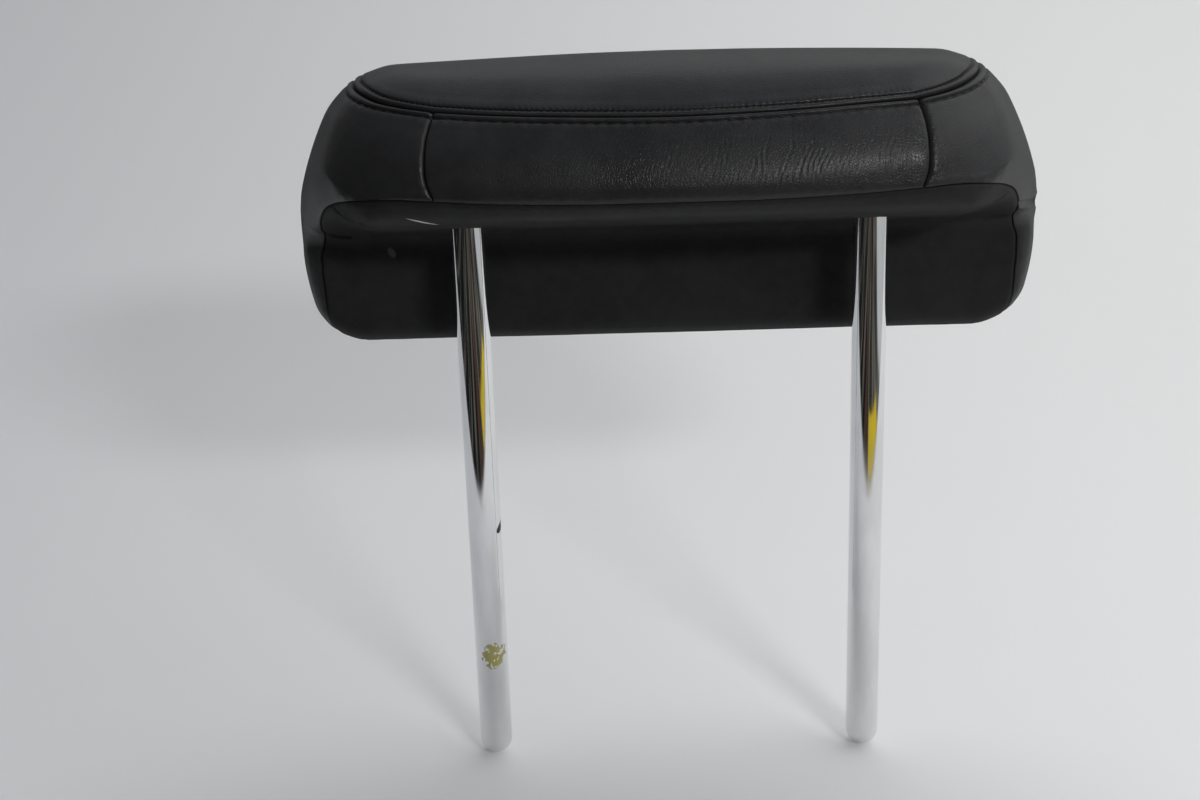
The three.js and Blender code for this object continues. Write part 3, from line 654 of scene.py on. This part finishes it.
def leather_panel(name, kind, surface, material, fine_everywhere):
    """Closed skin: a fine outer side with its relief, a turned-in hem and a coarse inner side.

    Blocks of the outer mesh far from the seams are single faces that share their neighbours' fine points.
    """
    u, v = surface.grid(FINEST_STEP if fine_everywhere else FINE_STEP)
    columns, rows = u.shape[0] - 1, u.shape[1] - 1
    wide, tall = columns // BLOCK, rows // BLOCK

    corner_points = surface.at(u[::BLOCK, ::BLOCK], v[::BLOCK, ::BLOCK])
    flat = corner_points.reshape(-1, 3)
    gap = np.minimum(welted_finder.find(flat)[0], plain_finder.find(flat)[0])
    gap = gap.reshape(wide + 1, tall + 1)
    lowest = np.minimum(np.minimum(gap[:-1, :-1], gap[1:, :-1]), np.minimum(gap[:-1, 1:], gap[1:, 1:]))
    fine = lowest < FINE_REACH
    if fine_everywhere:
        fine[:] = True

    faces = []
    for bi in range(wide):
        for bj in range(tall):
            i0, j0 = bi * BLOCK, bj * BLOCK
            if fine[bi, bj]:
                for i in range(i0, i0 + BLOCK):
                    for j in range(j0, j0 + BLOCK):
                        faces.append([(i, j), (i + 1, j), (i + 1, j + 1), (i, j + 1)])
                continue
            sides = [
                (bj > 0 and fine[bi, bj - 1], [(i0 + k, j0) for k in range(BLOCK)]),
                (bi + 1 < wide and fine[bi + 1, bj], [(i0 + BLOCK, j0 + k) for k in range(BLOCK)]),
                (bj + 1 < tall and fine[bi, bj + 1], [(i0 + BLOCK - k, j0 + BLOCK) for k in range(BLOCK)]),
                (bi > 0 and fine[bi - 1, bj], [(i0, j0 + BLOCK - k) for k in range(BLOCK)]),
            ]
            faces.append([q for split, row in sides for q in (row if split else row[:1])])

    used = sorted({q for face in faces for q in face})
    number = {q: k for k, q in enumerate(used)}
    at = np.array(used)
    form = surface.at(u[at[:, 0], at[:, 1]], v[at[:, 0], at[:, 1]])
    normal = normals(form)
    height = relief(form, kind)
    outer = form + normal * height[:, None]

    ring = boundary(columns, rows)
    ring_ids = [number[q] for q in ring]
    hem = form[ring_ids] - normal[ring_ids] * HEM_DEPTH
    inner = on_form(corner_points.reshape(-1, 3), SKIN)
    vertices = np.concatenate([outer, hem, inner])
    hem_start, inner_start = len(outer), len(outer) + len(hem)

    def inner_id(i, j):
        return inner_start + (i // BLOCK) * (tall + 1) + j // BLOCK

    polygons = [[number[q] for q in face] for face in faces]
    for bi in range(wide):
        for bj in range(tall):
            i, j = bi * BLOCK, bj * BLOCK
            corners = ((i, j), (i, j + BLOCK), (i + BLOCK, j + BLOCK), (i + BLOCK, j))
            polygons.append([inner_id(*corner) for corner in corners])
    n = len(ring)
    for k in range(n):
        after = (k + 1) % n
        polygons.append([ring_ids[after], ring_ids[k], hem_start + k, hem_start + after])
    for k in range(0, n, BLOCK):
        end = (k + BLOCK) % n
        row = [hem_start + (k + m) % n for m in range(BLOCK + 1)]
        polygons.append(row[::-1] + [inner_id(*ring[k]), inner_id(*ring[end])])

    a, b, c = (outer[number[q]] for q in faces[0][:3])
    if np.dot(np.cross(b - a, c - a), normal[number[faces[0][0]]]) < 0:
        polygons = [p[::-1] for p in polygons]
    obj = make_object(name, vertices, polygons, material)
    welt, along = welted_finder.find(form)
    seam_gap = np.full(len(vertices), 0.0)
    seam_gap[:hem_start] = np.minimum(welt, plain_finder.find(form)[0])
    row_gap = np.full(len(vertices), FAR_FROM_ROW)
    if kind != "underside":
        row_gap[:hem_start] = np.abs(welt - row_away(along))
    for label, values in (("seam_distance", seam_gap), ("row_distance", row_gap)):
        attribute = obj.data.attributes.new(label, "FLOAT", "POINT")
        attribute.data.foreach_set("value", values.astype(np.float32))
    return obj


# Materials

def material(name, **settings):
    """Node material whose plain values are set on the shader's own sockets."""
    made = bpy.data.materials.new(name)
    made.use_nodes = True
    nodes = made.node_tree.nodes
    shader = nodes["Principled BSDF"]
    for key, value in settings.items():
        shader.inputs[key.replace("_", " ")].default_value = value
    return made


class Tree:
    """Short names for building node trees."""

    def __init__(self, made, shader="Principled BSDF"):
        self.tree = made.node_tree
        self.shader = self.tree.nodes[shader]

    def node(self, kind, inputs=(), **settings):
        made = self.tree.nodes.new(kind)
        for key, value in settings.items():
            setattr(made, key, value)
        for key, value in dict(inputs).items():
            self.set(made.inputs[key], value)
        return made

    def set(self, socket, value):
        if isinstance(value, bpy.types.NodeSocket):
            self.tree.links.new(value, socket)
        else:
            socket.default_value = value

    def where(self):
        return self.node("ShaderNodeTexCoord").outputs["Object"]

    def stretched(self, vector, scale):
        return self.node("ShaderNodeMapping", {"Vector": vector, "Scale": scale}).outputs[0]

    def noise(self, vector, size_mm, detail=3.0, rough=0.5):
        inputs = {"Vector": vector, "Scale": 1 / (size_mm * MM), "Detail": detail, "Roughness": rough}
        return self.node("ShaderNodeTexNoise", inputs).outputs["Fac"]

    def cells(self, vector, size_mm, feature="DISTANCE_TO_EDGE"):
        inputs = {"Vector": vector, "Scale": 1 / (size_mm * MM), "Randomness": 1.0}
        return self.node("ShaderNodeTexVoronoi", inputs, feature=feature).outputs["Distance"]

    def ramp(self, value, low, high, to_low=0.0, to_high=1.0, curve="SMOOTHSTEP"):
        inputs = {"Value": value, "From Min": low, "From Max": high, "To Min": to_low, "To Max": to_high}
        return self.node("ShaderNodeMapRange", inputs, interpolation_type=curve).outputs["Result"]

    def math(self, operation, a, b=0.0, c=0.0):
        made = self.node("ShaderNodeMath", operation=operation)
        for socket, value in zip(made.inputs, (a, b, c)):
            self.set(socket, value)
        return made.outputs[0]

    def mix(self, factor, a, b):
        made = self.node("ShaderNodeMix", data_type="RGBA")
        self.set(made.inputs["Factor"], factor)
        self.set(made.inputs[6], a)
        self.set(made.inputs[7], b)
        return made.outputs[2]

    def bump(self, height, distance_mm):
        inputs = {"Height": height, "Distance": distance_mm * MM, "Strength": 1.0}
        return self.node("ShaderNodeBump", inputs).outputs[0]

    def vector(self, operation, a, b=(0.0, 0.0, 0.0)):
        return self.node("ShaderNodeVectorMath", {0: a, 1: b}, operation=operation).outputs

    def product(self, a, b):
        return self.math("MULTIPLY", a, b)

    def finish(self, **links):
        for key, value in links.items():
            self.set(self.shader.inputs[key.replace("_", " ")], value)


def oval_mask(t, where, centre, along, half_length, half_width):
    """Mask of a long soft oval, in mm, for a painted highlight, a smudge or painted shade."""
    unit = tuple(Vector(along).normalized())
    apart = t.vector("SUBTRACT", where, Vector(centre) * MM)[0]
    run = t.vector("DOT_PRODUCT", apart, unit)["Value"]
    reach = t.vector("LENGTH", apart)["Value"]
    across = t.math("SUBTRACT", t.product(reach, reach), t.product(run, run))
    wide = t.product(across, 1 / (half_width * MM) ** 2)
    far = t.product(t.product(run, run), 1 / (half_length * MM) ** 2)
    return t.ramp(t.math("ADD", wide, far), 0.1, 1.0, 1.0, 0.0)


# A painted highlight: the lip's white glint, painted as a streak; and a smudge on the drop panel: centre,
# direction, half length, half width, colour
PAINTED_GLINT_AND_SMUDGE = [
    ((-81.6, -28.9, 10.3), (0.93, 0.22, -0.3), 8.5, 0.6, (0.85, 0.85, 0.83, 1)),
    ((-99.8, 22.0, -15.0), (0.5, 0.0, -0.87), 2.6, 1.6, (0.09, 0.09, 0.09, 1)),
]


def leather_material(name, dark, light, rough, grain, gloss):
    """Leather with pores and fine creases, painted shade in the seams and rows, a painted highlight and a
    smudge at two spots, and rougher at grazing angles.
    """
    made = material(name, Sheen_Weight=0.03, Sheen_Roughness=0.45, Specular_IOR_Level=gloss)
    t = Tree(made)
    where = t.where()
    seam_gap = t.node("ShaderNodeAttribute", attribute_name="seam_distance").outputs["Fac"]
    broad = t.noise(where, 38, 3)
    mottled = t.noise(where, 6, 4, 0.6)
    tone = t.math("ADD", t.product(broad, 0.6), t.product(mottled, 0.4))
    colour = t.mix(t.ramp(tone, 0.35, 0.65), dark, light)
    row_gap = t.node("ShaderNodeAttribute", attribute_name="row_distance").outputs["Fac"]
    # Painted shade: the seams and stitch rows darkened to near black.
    seam_shade = t.math("MAXIMUM", t.ramp(seam_gap, 0.1, 0.7, 0.8, 0.0), t.ramp(row_gap, 0.15, 0.75, 0.8, 0.0))
    colour = t.mix(seam_shade, colour, (0.004, 0.004, 0.0045, 1))
    # Painted highlight: the lip's glint as a white streak; and the smudge on the drop panel.
    for centre, along, half_length, half_width, tint in PAINTED_GLINT_AND_SMUDGE:
        colour = t.mix(oval_mask(t, where, centre, along, half_length, half_width), colour, tint)
    facing = t.node("ShaderNodeLayerWeight", {"Blend": 0.5}).outputs["Facing"]
    roughness = t.ramp(broad, 0.35, 0.65, rough - 0.035, rough + 0.045)
    roughness = t.math("ADD", roughness, t.product(mottled, 0.06))
    roughness = t.math("ADD", roughness, t.ramp(facing, 0.5, 0.95, 0.0, 0.35))
    pores = t.cells(where, 0.95)
    fine = t.noise(where, 0.42, 2)
    skin = t.math("ADD", t.ramp(pores, 0.0, 0.16), t.product(fine, 0.8))
    creases = t.noise(t.stretched(where, (1.0, 0.45, 0.45)), 2.6, 4, 0.6)
    height = t.math("ADD", skin, t.product(creases, 1.5))
    t.finish(Base_Color=colour, Roughness=roughness, Normal=t.bump(height, grain))
    return made


leather = leather_material(
    "leather_satin",
    dark=(0.02, 0.0204, 0.0216, 1),
    light=(0.03, 0.0305, 0.0322, 1),
    rough=0.29,
    grain=0.03,
    gloss=0.32,
)
leather_matte = leather_material(
    "leather_matte",
    dark=(0.018, 0.0184, 0.0196, 1),
    light=(0.027, 0.0275, 0.029, 1),
    rough=0.5,
    grain=0.03,
    gloss=0.1,
)


def thread_material():
    """Black twisted thread."""
    made = material("thread", Roughness=0.55, Sheen_Weight=0.3)
    t = Tree(made)
    where = t.where()
    twist = t.noise(where, 0.5, 2)
    colour = t.mix(twist, (0.006, 0.006, 0.007, 1), (0.022, 0.022, 0.024, 1))
    t.finish(Base_Color=colour, Normal=t.bump(twist, 0.08))
    return made


thread = thread_material()


def chrome_material():
    """Polished chrome with faint haze, a paint daub on one post and painted shade at the notch."""
    made = material("chrome", Metallic=1.0)
    t = Tree(made)
    where = t.where()
    haze = t.noise(t.stretched(where, (1, 1, 0.25)), 9, 4, 0.6)
    scratches = t.noise(t.stretched(where, (1, 1, 0.03)), 0.35, 2)
    blend = t.math("ADD", t.ramp(haze, 0.4, 0.7, 0.045, 0.11), t.ramp(scratches, 0.55, 0.8, 0.0, 0.06))
    colour = t.mix(t.ramp(haze, 0.35, 0.7), (0.8, 0.81, 0.82, 1), (0.72, 0.73, 0.74, 1))
    near = t.vector("SUBTRACT", where, (DAUB_X * MM, -POST_RADIUS * MM, DAUB_Z * MM))
    parts = t.node("ShaderNodeSeparateXYZ", {0: near[0]})
    wobble = t.product(t.math("SUBTRACT", t.noise(where, 2.6, 2), 0.5), 0.006)
    across = t.product(t.math("ADD", parts.outputs[0], wobble), 260)
    upward = t.product(t.math("ADD", parts.outputs[2], wobble), 190)
    apart = t.math("SQRT", t.math("ADD", t.math("POWER", across, 2), t.math("POWER", upward, 2)))
    daub = t.ramp(apart, 0.95, 1.05, 1.0, 0.0)
    daub = t.product(daub, t.ramp(t.noise(where, 1.9, 2), 0.38, 0.46))
    daub = t.product(daub, t.math("LESS_THAN", parts.outputs[1], 0.004))
    colour = t.mix(daub, colour, (0.42, 0.39, 0.12, 1))
    along_notch = (0, math.cos(math.radians(NOTCH_TILT)), math.sin(math.radians(NOTCH_TILT)))
    near_notch = oval_mask(t, where, (NOTCH_X, 0, NOTCH_Z), along_notch, 40, NOTCH_HEIGHT / 2 + 0.4)
    # Painted shade: a dark band round the post at the notch, which is also rougher there.
    notch_shade = t.ramp(near_notch, 0.12, 0.3)
    colour = t.mix(notch_shade, colour, (0.04, 0.04, 0.04, 1))
    blend = t.math("ADD", blend, t.product(notch_shade, 0.3))
    t.finish(
        Base_Color=colour,
        Roughness=t.math("ADD", blend, t.product(daub, 0.35)),
        Metallic=t.math("SUBTRACT", 1.0, daub),
        Normal=t.bump(daub, 0.12),
    )
    return made


def foam_material():
    """Yellowish foam with open pores."""
    made = material("foam", Roughness=0.95)
    t = Tree(made)
    where = t.where()
    pores = t.cells(where, 1.3, "F1")
    colour = t.mix(t.ramp(pores, 0.0, 0.6), (0.3, 0.25, 0.14, 1), (0.66, 0.58, 0.4, 1))
    t.finish(Base_Color=colour, Normal=t.bump(t.ramp(pores, 0.0, 0.5), 0.4))
    return made


def plastic_material():
    """Dark moulded plastic with a fine grain."""
    made = material("insert_plastic")
    t = Tree(made)
    where = t.where()
    grain = t.noise(where, 0.6, 3)
    tone = t.mix(t.noise(where, 14, 3), (0.035, 0.035, 0.038, 1), (0.06, 0.06, 0.064, 1))
    t.finish(Base_Color=tone, Roughness=t.ramp(grain, 0.3, 0.7, 0.5, 0.65), Normal=t.bump(grain, 0.05))
    return made


def steel_material():
    """Steel, brushed along the screws."""
    made = material("screw_steel", Metallic=1.0)
    t = Tree(made)
    brushed = t.noise(t.stretched(t.where(), (1, 0.1, 1)), 0.5, 3)
    tone = t.mix(brushed, (0.42, 0.43, 0.45, 1), (0.6, 0.6, 0.6, 1))
    t.finish(Base_Color=tone, Roughness=t.ramp(brushed, 0.3, 0.7, 0.25, 0.4))
    return made


chrome = chrome_material()
foam = foam_material()
plastic = plastic_material()
steel = steel_material()

# Cushion covers

tongue_at = shoulder_seam.nearest_fraction(TONGUE_TURN)
lip_at = lip_seam.nearest_fraction(LIP_TURN)
tongue_turn = shoulder_seam.part(0, tongue_at)
tongue_side = shoulder_seam.part(tongue_at, 1)
lip_turn = lip_seam.part(0, lip_at)
lip_side = lip_seam.part(lip_at, 1)
tongue_back = joined(tongue_turn.mirrored().reversed(), rear_top_seam, tongue_turn)
lip_back = joined(lip_turn.mirrored().reversed(), rear_low_seam, lip_turn)
front_row = joined(front_corner_seam.mirrored().reversed(), front_low_seam, front_corner_seam)

right_edges = (shoulder_seam, lip_seam, rear_side_seam, front_corner_seam)
covers = {
    "cover_centre": ("centre", Surface(tongue_back, front_low_seam, tongue_side.mirrored(), tongue_side)),
    "cover_rear": ("rear", Surface(rear_top_seam, rear_low_seam, rear_side_seam.mirrored(), rear_side_seam)),
    "cover_side_right": ("side", Surface(*right_edges)),
    "cover_side_left": ("side", Surface(*(edge.mirrored() for edge in right_edges))),
    "cover_underside": ("underside", Surface(lip_back, front_row, lip_side.mirrored(), lip_side)),
}
for node, (kind, surface) in covers.items():
    under = kind == "underside"
    made = leather_matte if under else leather
    name = node.replace("cover", "leather")
    piece = leather_panel(name, kind, surface, made, fine_everywhere=kind == "rear")
    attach(piece, "root")
    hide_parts(node)


# Thread: short stitches that lie in the two rows beside the welted seam

def stitch_row(chain, sign, samples=900):
    """The line of a stitch row, to the left of the welted seam for a positive sign."""
    t = np.linspace(0, 1, samples)
    points = chain.at(t)
    away = sign * row_away(t * chain.length)
    tangent = np.gradient(points, axis=0)
    tangent /= np.linalg.norm(tangent, axis=1)[:, None]
    side = np.cross(normals(points), tangent)
    side /= np.linalg.norm(side, axis=1)[:, None]
    return Chain(on_form(points + side * away[:, None]))


def stitches(name, line, kind, pitch, length, radius):
    """Short threads along the line, sunk in the leather at both ends and arched between."""
    count = int(line.length / pitch)
    centre = (np.arange(count) + 0.5) / count
    rings, sides = 7, 8
    vertices, faces = [], []
    along = np.linspace(-0.5, 0.5, rings)
    swell = np.sqrt(np.clip(1 - (2 * along * 0.97) ** 4, 0.02, 1))
    for k, t in enumerate(centre):
        points = line.at(t + along * length / line.length)
        normal = normals(points)
        tangent = points[-1] - points[0]
        tangent /= np.linalg.norm(tangent)
        side = np.cross(normal, tangent)
        height = np.repeat(relief(points[rings // 2 : rings // 2 + 1], kind), rings)
        lift = height - STITCH_SINK + STITCH_ARCH * (1 - (2 * along) ** 2)
        middle = points + normal * lift[:, None]
        first = len(vertices)
        for r in range(rings):
            for a in np.arange(sides) * 2 * np.pi / sides:
                outward = side[r] * math.cos(a) + normal[r] * math.sin(a)
                vertices.append(middle[r] + radius * swell[r] * outward)
        for r in range(rings - 1):
            for a in range(sides):
                b = (a + 1) % sides
                low, high = first + r * sides, first + (r + 1) * sides
                faces.append([low + a, low + b, high + b, high + a])
        faces.append([first + a for a in range(sides)][::-1])
        faces.append([first + (rings - 1) * sides + a for a in range(sides)])
    obj = make_object(name, vertices, faces, thread)
    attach(obj, "root")


centre_row, outer_row = stitch_row(welted_seam, 1), stitch_row(welted_seam, -1)
stitches("stitches_centre", centre_row, "centre", PITCH_CENTRE, STITCH_CENTRE, THREAD_RADIUS_CENTRE)
stitches("stitches_outer", outer_row, "side", PITCH_OUTER, STITCH_OUTER, THREAD_RADIUS_OUTER)


# Rods with domed ends along the stay's line

def stay_line(tip_z, dome):
    """Middle line from the right post's tip over the bar to the left post's tip."""
    right = [(POST_X, tip_z + dome * (1 - math.cos(a))) for a in np.linspace(0.08, math.pi / 2, 14)]
    right += [(POST_X, z) for z in np.arange(tip_z + dome + 4, BAR_Z - BEND_RADIUS - 1, 4)]
    for a in np.linspace(0, math.pi / 2, 25):
        right.append((
            POST_X - BEND_RADIUS * (1 - math.cos(a)),
            BAR_Z - BEND_RADIUS * (1 - math.sin(a)),
        ))
    left = [(-x, z) for x, z in right[::-1]]
    return np.array([(x, 0, z) for x, z in right + left], float)


def rod(radius, tip_z, sides):
    """Vertices and faces of a round rod along the stay's line."""
    line = stay_line(tip_z, radius)
    tangent = np.gradient(line, axis=0)
    tangent /= np.linalg.norm(tangent, axis=1)[:, None]
    depth = np.clip(tip_z + radius - line[:, 2], 0, radius)
    size = radius * np.sqrt(1 - (depth / radius) ** 2)
    across = np.cross(tangent, (0, 1, 0))
    angle = np.arange(sides) * 2 * np.pi / sides
    ring = across[:, None] * np.cos(angle)[:, None] + np.array([0, 1, 0]) * np.sin(angle)[:, None]
    vertices = (line[:, None] + ring * size[:, None, None]).reshape(-1, 3)
    faces = []
    for r in range(len(line) - 1):
        for a in range(sides):
            b = (a + 1) % sides
            faces.append([r * sides + a, (r + 1) * sides + a, (r + 1) * sides + b, r * sides + b])
    faces.append(list(range(sides)))
    faces.append(list(range((len(line) - 1) * sides, len(line) * sides))[::-1])
    return vertices, faces


def cut(obj, *tools):
    """Cuts the tools out of the object and deletes them."""
    for tool in tools:
        modifier = obj.modifiers.new("cut", "BOOLEAN")
        modifier.operation = "DIFFERENCE"
        modifier.solver = "EXACT"
        modifier.object = tool
    bpy.context.view_layer.update()
    result = bpy.data.meshes.new_from_object(obj.evaluated_get(bpy.context.evaluated_depsgraph_get()))
    obj.modifiers.clear()
    obj.data = result
    for tool in tools:
        bpy.data.objects.remove(tool)


def shade_by_angle(obj, degrees):
    """Smooth shading, with sharp edges where faces turn by more than the angle."""
    obj.data.polygons.foreach_set("use_smooth", [True] * len(obj.data.polygons))
    obj.data.set_sharp_from_angle(angle=math.radians(degrees))


def cylinder(radius, length, centre, tilt, sides=48):
    """Tool along y, tilted about x."""
    angle = np.arange(sides) * 2 * np.pi / sides
    turn = np.array(Matrix.Rotation(math.radians(tilt), 3, "X"))
    rows = []
    for y in (-length / 2, length / 2):
        ring = np.stack([radius * np.cos(angle), np.full(sides, y), radius * np.sin(angle)], 1)
        rows.append(ring @ turn.T + centre)
    faces = [[a, (a + 1) % sides, sides + (a + 1) % sides, sides + a] for a in range(sides)]
    faces += [list(range(sides))[::-1], list(range(sides, 2 * sides))]
    return make_object("tool", np.concatenate(rows), faces, None)


stay = make_object("stay_chrome", *rod(POST_RADIUS, POST_TIP_Z, 64), chrome)
cut(stay, cylinder(NOTCH_HEIGHT / 2, 4 * POST_RADIUS, (NOTCH_X, 0, NOTCH_Z), NOTCH_TILT))
shade_by_angle(stay, 35)
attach(stay, "root")
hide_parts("stay")


# Foam block

def foam_block(inset):
    """The form's inside, at an inset, as rays round the spine and over its two ends."""
    turns = np.radians(np.arange(-180, 180, 4.0))
    leans = [6, 14, 22, 30, 38, 46, 54, 62, 70, 78, 85]
    stations = [(-SPINE_X, -a) for a in leans[::-1]]
    stations += [(x, 0) for x in np.linspace(-SPINE_X, SPINE_X, 41)]
    stations += [(SPINE_X, a) for a in leans]
    points = []
    for x, lean in stations:
        tilt = math.radians(lean)
        level = np.full(len(turns), math.sin(tilt))
        ray = np.stack([level, math.cos(tilt) * np.cos(turns), math.cos(tilt) * np.sin(turns)], 1)
        points.append(np.array([x, SPINE_Y, SPINE_Z]) + ray)
    ends = np.array([[-SPINE_X - 1, SPINE_Y, SPINE_Z], [SPINE_X + 1, SPINE_Y, SPINE_Z]])
    points = on_form(np.concatenate(points + [ends]), inset)
    n = len(turns)
    faces = []
    for s in range(len(stations) - 1):
        for k in range(n):
            a, b = s * n + k, s * n + (k + 1) % n
            faces.append([a, b, b + n, a + n])
    last = (len(stations) - 1) * n
    left, right = last + n, last + n + 1
    for k in range(n):
        faces.append([left, (k + 1) % n, k])
        faces.append([right, last + k, last + (k + 1) % n])
    return points, faces


def rounded_slab(half, low, high, corner, reach, steps=8):
    """Tool: a slab with round corners, seen along y."""
    outline = []
    for cx, cz, start in ((half, low, -90), (half, high, 0), (-half, high, 90), (-half, low, 180)):
        for a in np.radians(np.linspace(start, start + 90, steps)):
            x = cx - math.copysign(corner, cx) + corner * math.cos(a)
            z = cz + (corner if cz == low else -corner) + corner * math.sin(a)
            outline.append((x, z))
    n = len(outline)
    vertices = [(x, y, z) for y in (-reach, reach) for x, z in outline]
    faces = [[k, n + k, n + (k + 1) % n, (k + 1) % n] for k in range(n)]
    faces += [list(range(n)), list(range(n, 2 * n))[::-1]]
    return make_object("tool", vertices, faces, None)


block = make_object("foam_block", *foam_block(FOAM_INSET), foam)
cut(
    block,
    rounded_slab(ROOM_HALF_WIDTH, ROOM_LOW_Z, ROOM_HIGH_Z, ROOM_CORNER, ROOM_HALF_DEPTH),
    make_object("tool", *rod(POST_RADIUS + STAY_CLEARANCE, POST_TIP_Z - STAY_CLEARANCE, 48), None),
)
shade_by_angle(block, 35)
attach(block, "root")
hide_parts("foam_core")

# Carried-over CAD nodes

carried = {"insert_front": plastic, "insert_rear": plastic}
carried.update({f"insert_screw_{k}": steel for k in (1, 2, 3, 4)})
for name, made in carried.items():
    node = next(o for o in bpy.context.scene.objects if o.get("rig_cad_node") == name)
    node.data.materials.clear()
    node.data.materials.append(made)


# Floor and backdrop

def sweep():
    """Pale sheet: a floor that curves up slowly into a wall far behind."""
    flat_y, bend, reach, height = 150.0, 800.0, 2400.0, 1300.0
    profile = [(-reach, FLOOR_Z), (-900, FLOOR_Z), (-300, FLOOR_Z)]
    for a in np.radians(np.linspace(0, 90, 40)):
        profile.append((flat_y + bend * math.sin(a), FLOOR_Z + bend * (1 - math.cos(a))))
    profile.append((flat_y + bend, height))
    vertices = [(x, y, z) for x in (-reach, reach) for y, z in profile]
    n = len(profile)
    faces = [[k, n + k, n + k + 1, k + 1] for k in range(n - 1)]
    return vertices, faces


def sheet_material():
    """Pale sheet, a little darker on the left by painted shade. Only reflections see a dim room painted on
    it, in front, as painted shade.
    """
    made = material("pale_sheet", Roughness=0.9, Specular_IOR_Level=0.1)
    t = Tree(made)
    where = t.where()
    parts = t.node("ShaderNodeSeparateXYZ", {0: where})
    tone = t.noise(where, 260, 3, 0.5)
    pale = t.mix(tone, (0.815, 0.815, 0.815, 1), (0.855, 0.855, 0.855, 1))
    # Painted shade: the sheet is darker on the left, in its colour and in its glow.
    pale = t.mix(t.ramp(parts.outputs[0], -0.5, 0.3, 0.75, 0.0), pale, (0.62, 0.63, 0.65, 1))
    x, y = parts.outputs[0], parts.outputs[1]
    # Painted shade, seen only by reflections: a dim room in front, with streaks, a brown patch and a yellow
    # strip.
    edge = t.math("ADD", t.product(t.product(x, x), 0.9), -0.25)
    beyond = t.math("SUBTRACT", edge, y)
    shown = t.node("ShaderNodeLightPath").outputs
    past = t.product(t.ramp(beyond, 0.0, 0.03), t.ramp(x, 0.42, 0.5, 1.0, 0.4))
    past = t.product(past, t.math("SUBTRACT", 1.0, shown["Is Camera Ray"]))
    streaks = t.noise(t.stretched(where, (1, 0.12, 1)), 45, 2)
    room = t.mix(t.ramp(streaks, 0.48, 0.66), (0.008, 0.009, 0.01, 1), (0.16, 0.15, 0.125, 1))
    brown = t.product(t.ramp(x, -0.09, -0.05), t.ramp(x, 0.0, 0.04, 1.0, 0.0))
    room = t.mix(t.product(brown, 0.8), room, (0.1, 0.045, 0.025, 1))
    strip = t.product(t.ramp(beyond, 0.02, 0.03), t.ramp(beyond, 0.11, 0.12, 1.0, 0.0))
    across = t.product(t.ramp(x, 0.08, 0.1), t.ramp(x, 0.36, 0.38, 1.0, 0.0))
    strip = t.product(strip, across)
    room = t.mix(strip, room, (0.75, 0.55, 0.03, 1))
    seen = t.math("MAXIMUM", shown["Is Camera Ray"], shown["Is Glossy Ray"])
    t.finish(
        Base_Color=t.mix(past, pale, room),
        Emission_Color=pale,
        Emission_Strength=t.product(t.math("SUBTRACT", 1.0, past), t.product(seen, 0.12)),
    )
    return made


floor = make_object("floor", *sweep(), sheet_material())

# Light: lamps of a place, an aim, a size in metres and a power in watts

def lamp(name, at, toward, size, power, glossy=True):
    """Rectangular lamp, left out of reflections if it isn't glossy."""
    data = bpy.data.lights.new(name, "AREA")
    data.shape = "RECTANGLE"
    data.size, data.size_y = size
    data.energy = power
    obj = bpy.data.objects.new(name, data)
    obj.location = at
    obj.rotation_euler = (Vector(toward) - Vector(at)).to_track_quat("-Z", "Y").to_euler()
    obj.visible_glossy = glossy
    bpy.context.collection.objects.link(obj)


lamp("lamp_right", (1.5, 0.05, 1.35), (0, 0, 0), (2.0, 2.0), 12.5)
lamp("lamp_top", (0.25, 0.75, 1.7), (0, 0, 0), (1.4, 0.8), 11, glossy=False)
lamp("lamp_front", (0.84, -1.64, 0.92), (0.06, -0.04, 0.03), (0.42, 0.16), 12)

world = bpy.data.worlds.new("studio")
world.use_nodes = True
sky = Tree(world, "Background")
direction = sky.node("ShaderNodeTexCoord").outputs["Generated"]
facing = sky.vector("DOT_PRODUCT", direction, (0.35, 0.9, 0.27))["Value"]
sky.finish(
    Color=sky.mix(sky.ramp(facing, -0.15, 0.9), (0.16, 0.164, 0.172, 1), (0.8, 0.84, 0.88, 1)),
    Strength=0.52,
)
bpy.context.scene.world = world
bpy.context.scene.view_settings.view_transform = "Standard"

# Camera

def turned(rx, ry, rz):
    """The camera's right, down and ahead directions, turned from a level look along +y."""
    base = np.array([[1, 0, 0], [0, 0, -1], [0, 1, 0]], float)
    turns = ((rx, "X"), (ry, "Y"), (rz, "Z"))
    x, y, z = (np.array(Matrix.Rotation(math.radians(angle), 3, axis)) for angle, axis in turns)
    return z @ y @ x @ base


right, down, ahead = turned(*CAMERA_TURN)
pose = Matrix.Identity(4)
for k in range(3):
    pose[k][0], pose[k][1], pose[k][2] = right[k], -down[k], -ahead[k]
    pose[k][3] = CAMERA_AT[k] * MM
camera = bpy.data.objects.new("camera", bpy.data.cameras.new("camera"))
camera.data.sensor_width = 36.0
camera.data.lens = FOCAL_PIXELS * camera.data.sensor_width / IMAGE_WIDTH
camera.data.clip_start = 0.01
camera.data.clip_end = 20.0
camera.matrix_world = pose
bpy.context.collection.objects.link(camera)
bpy.context.scene.camera = camera
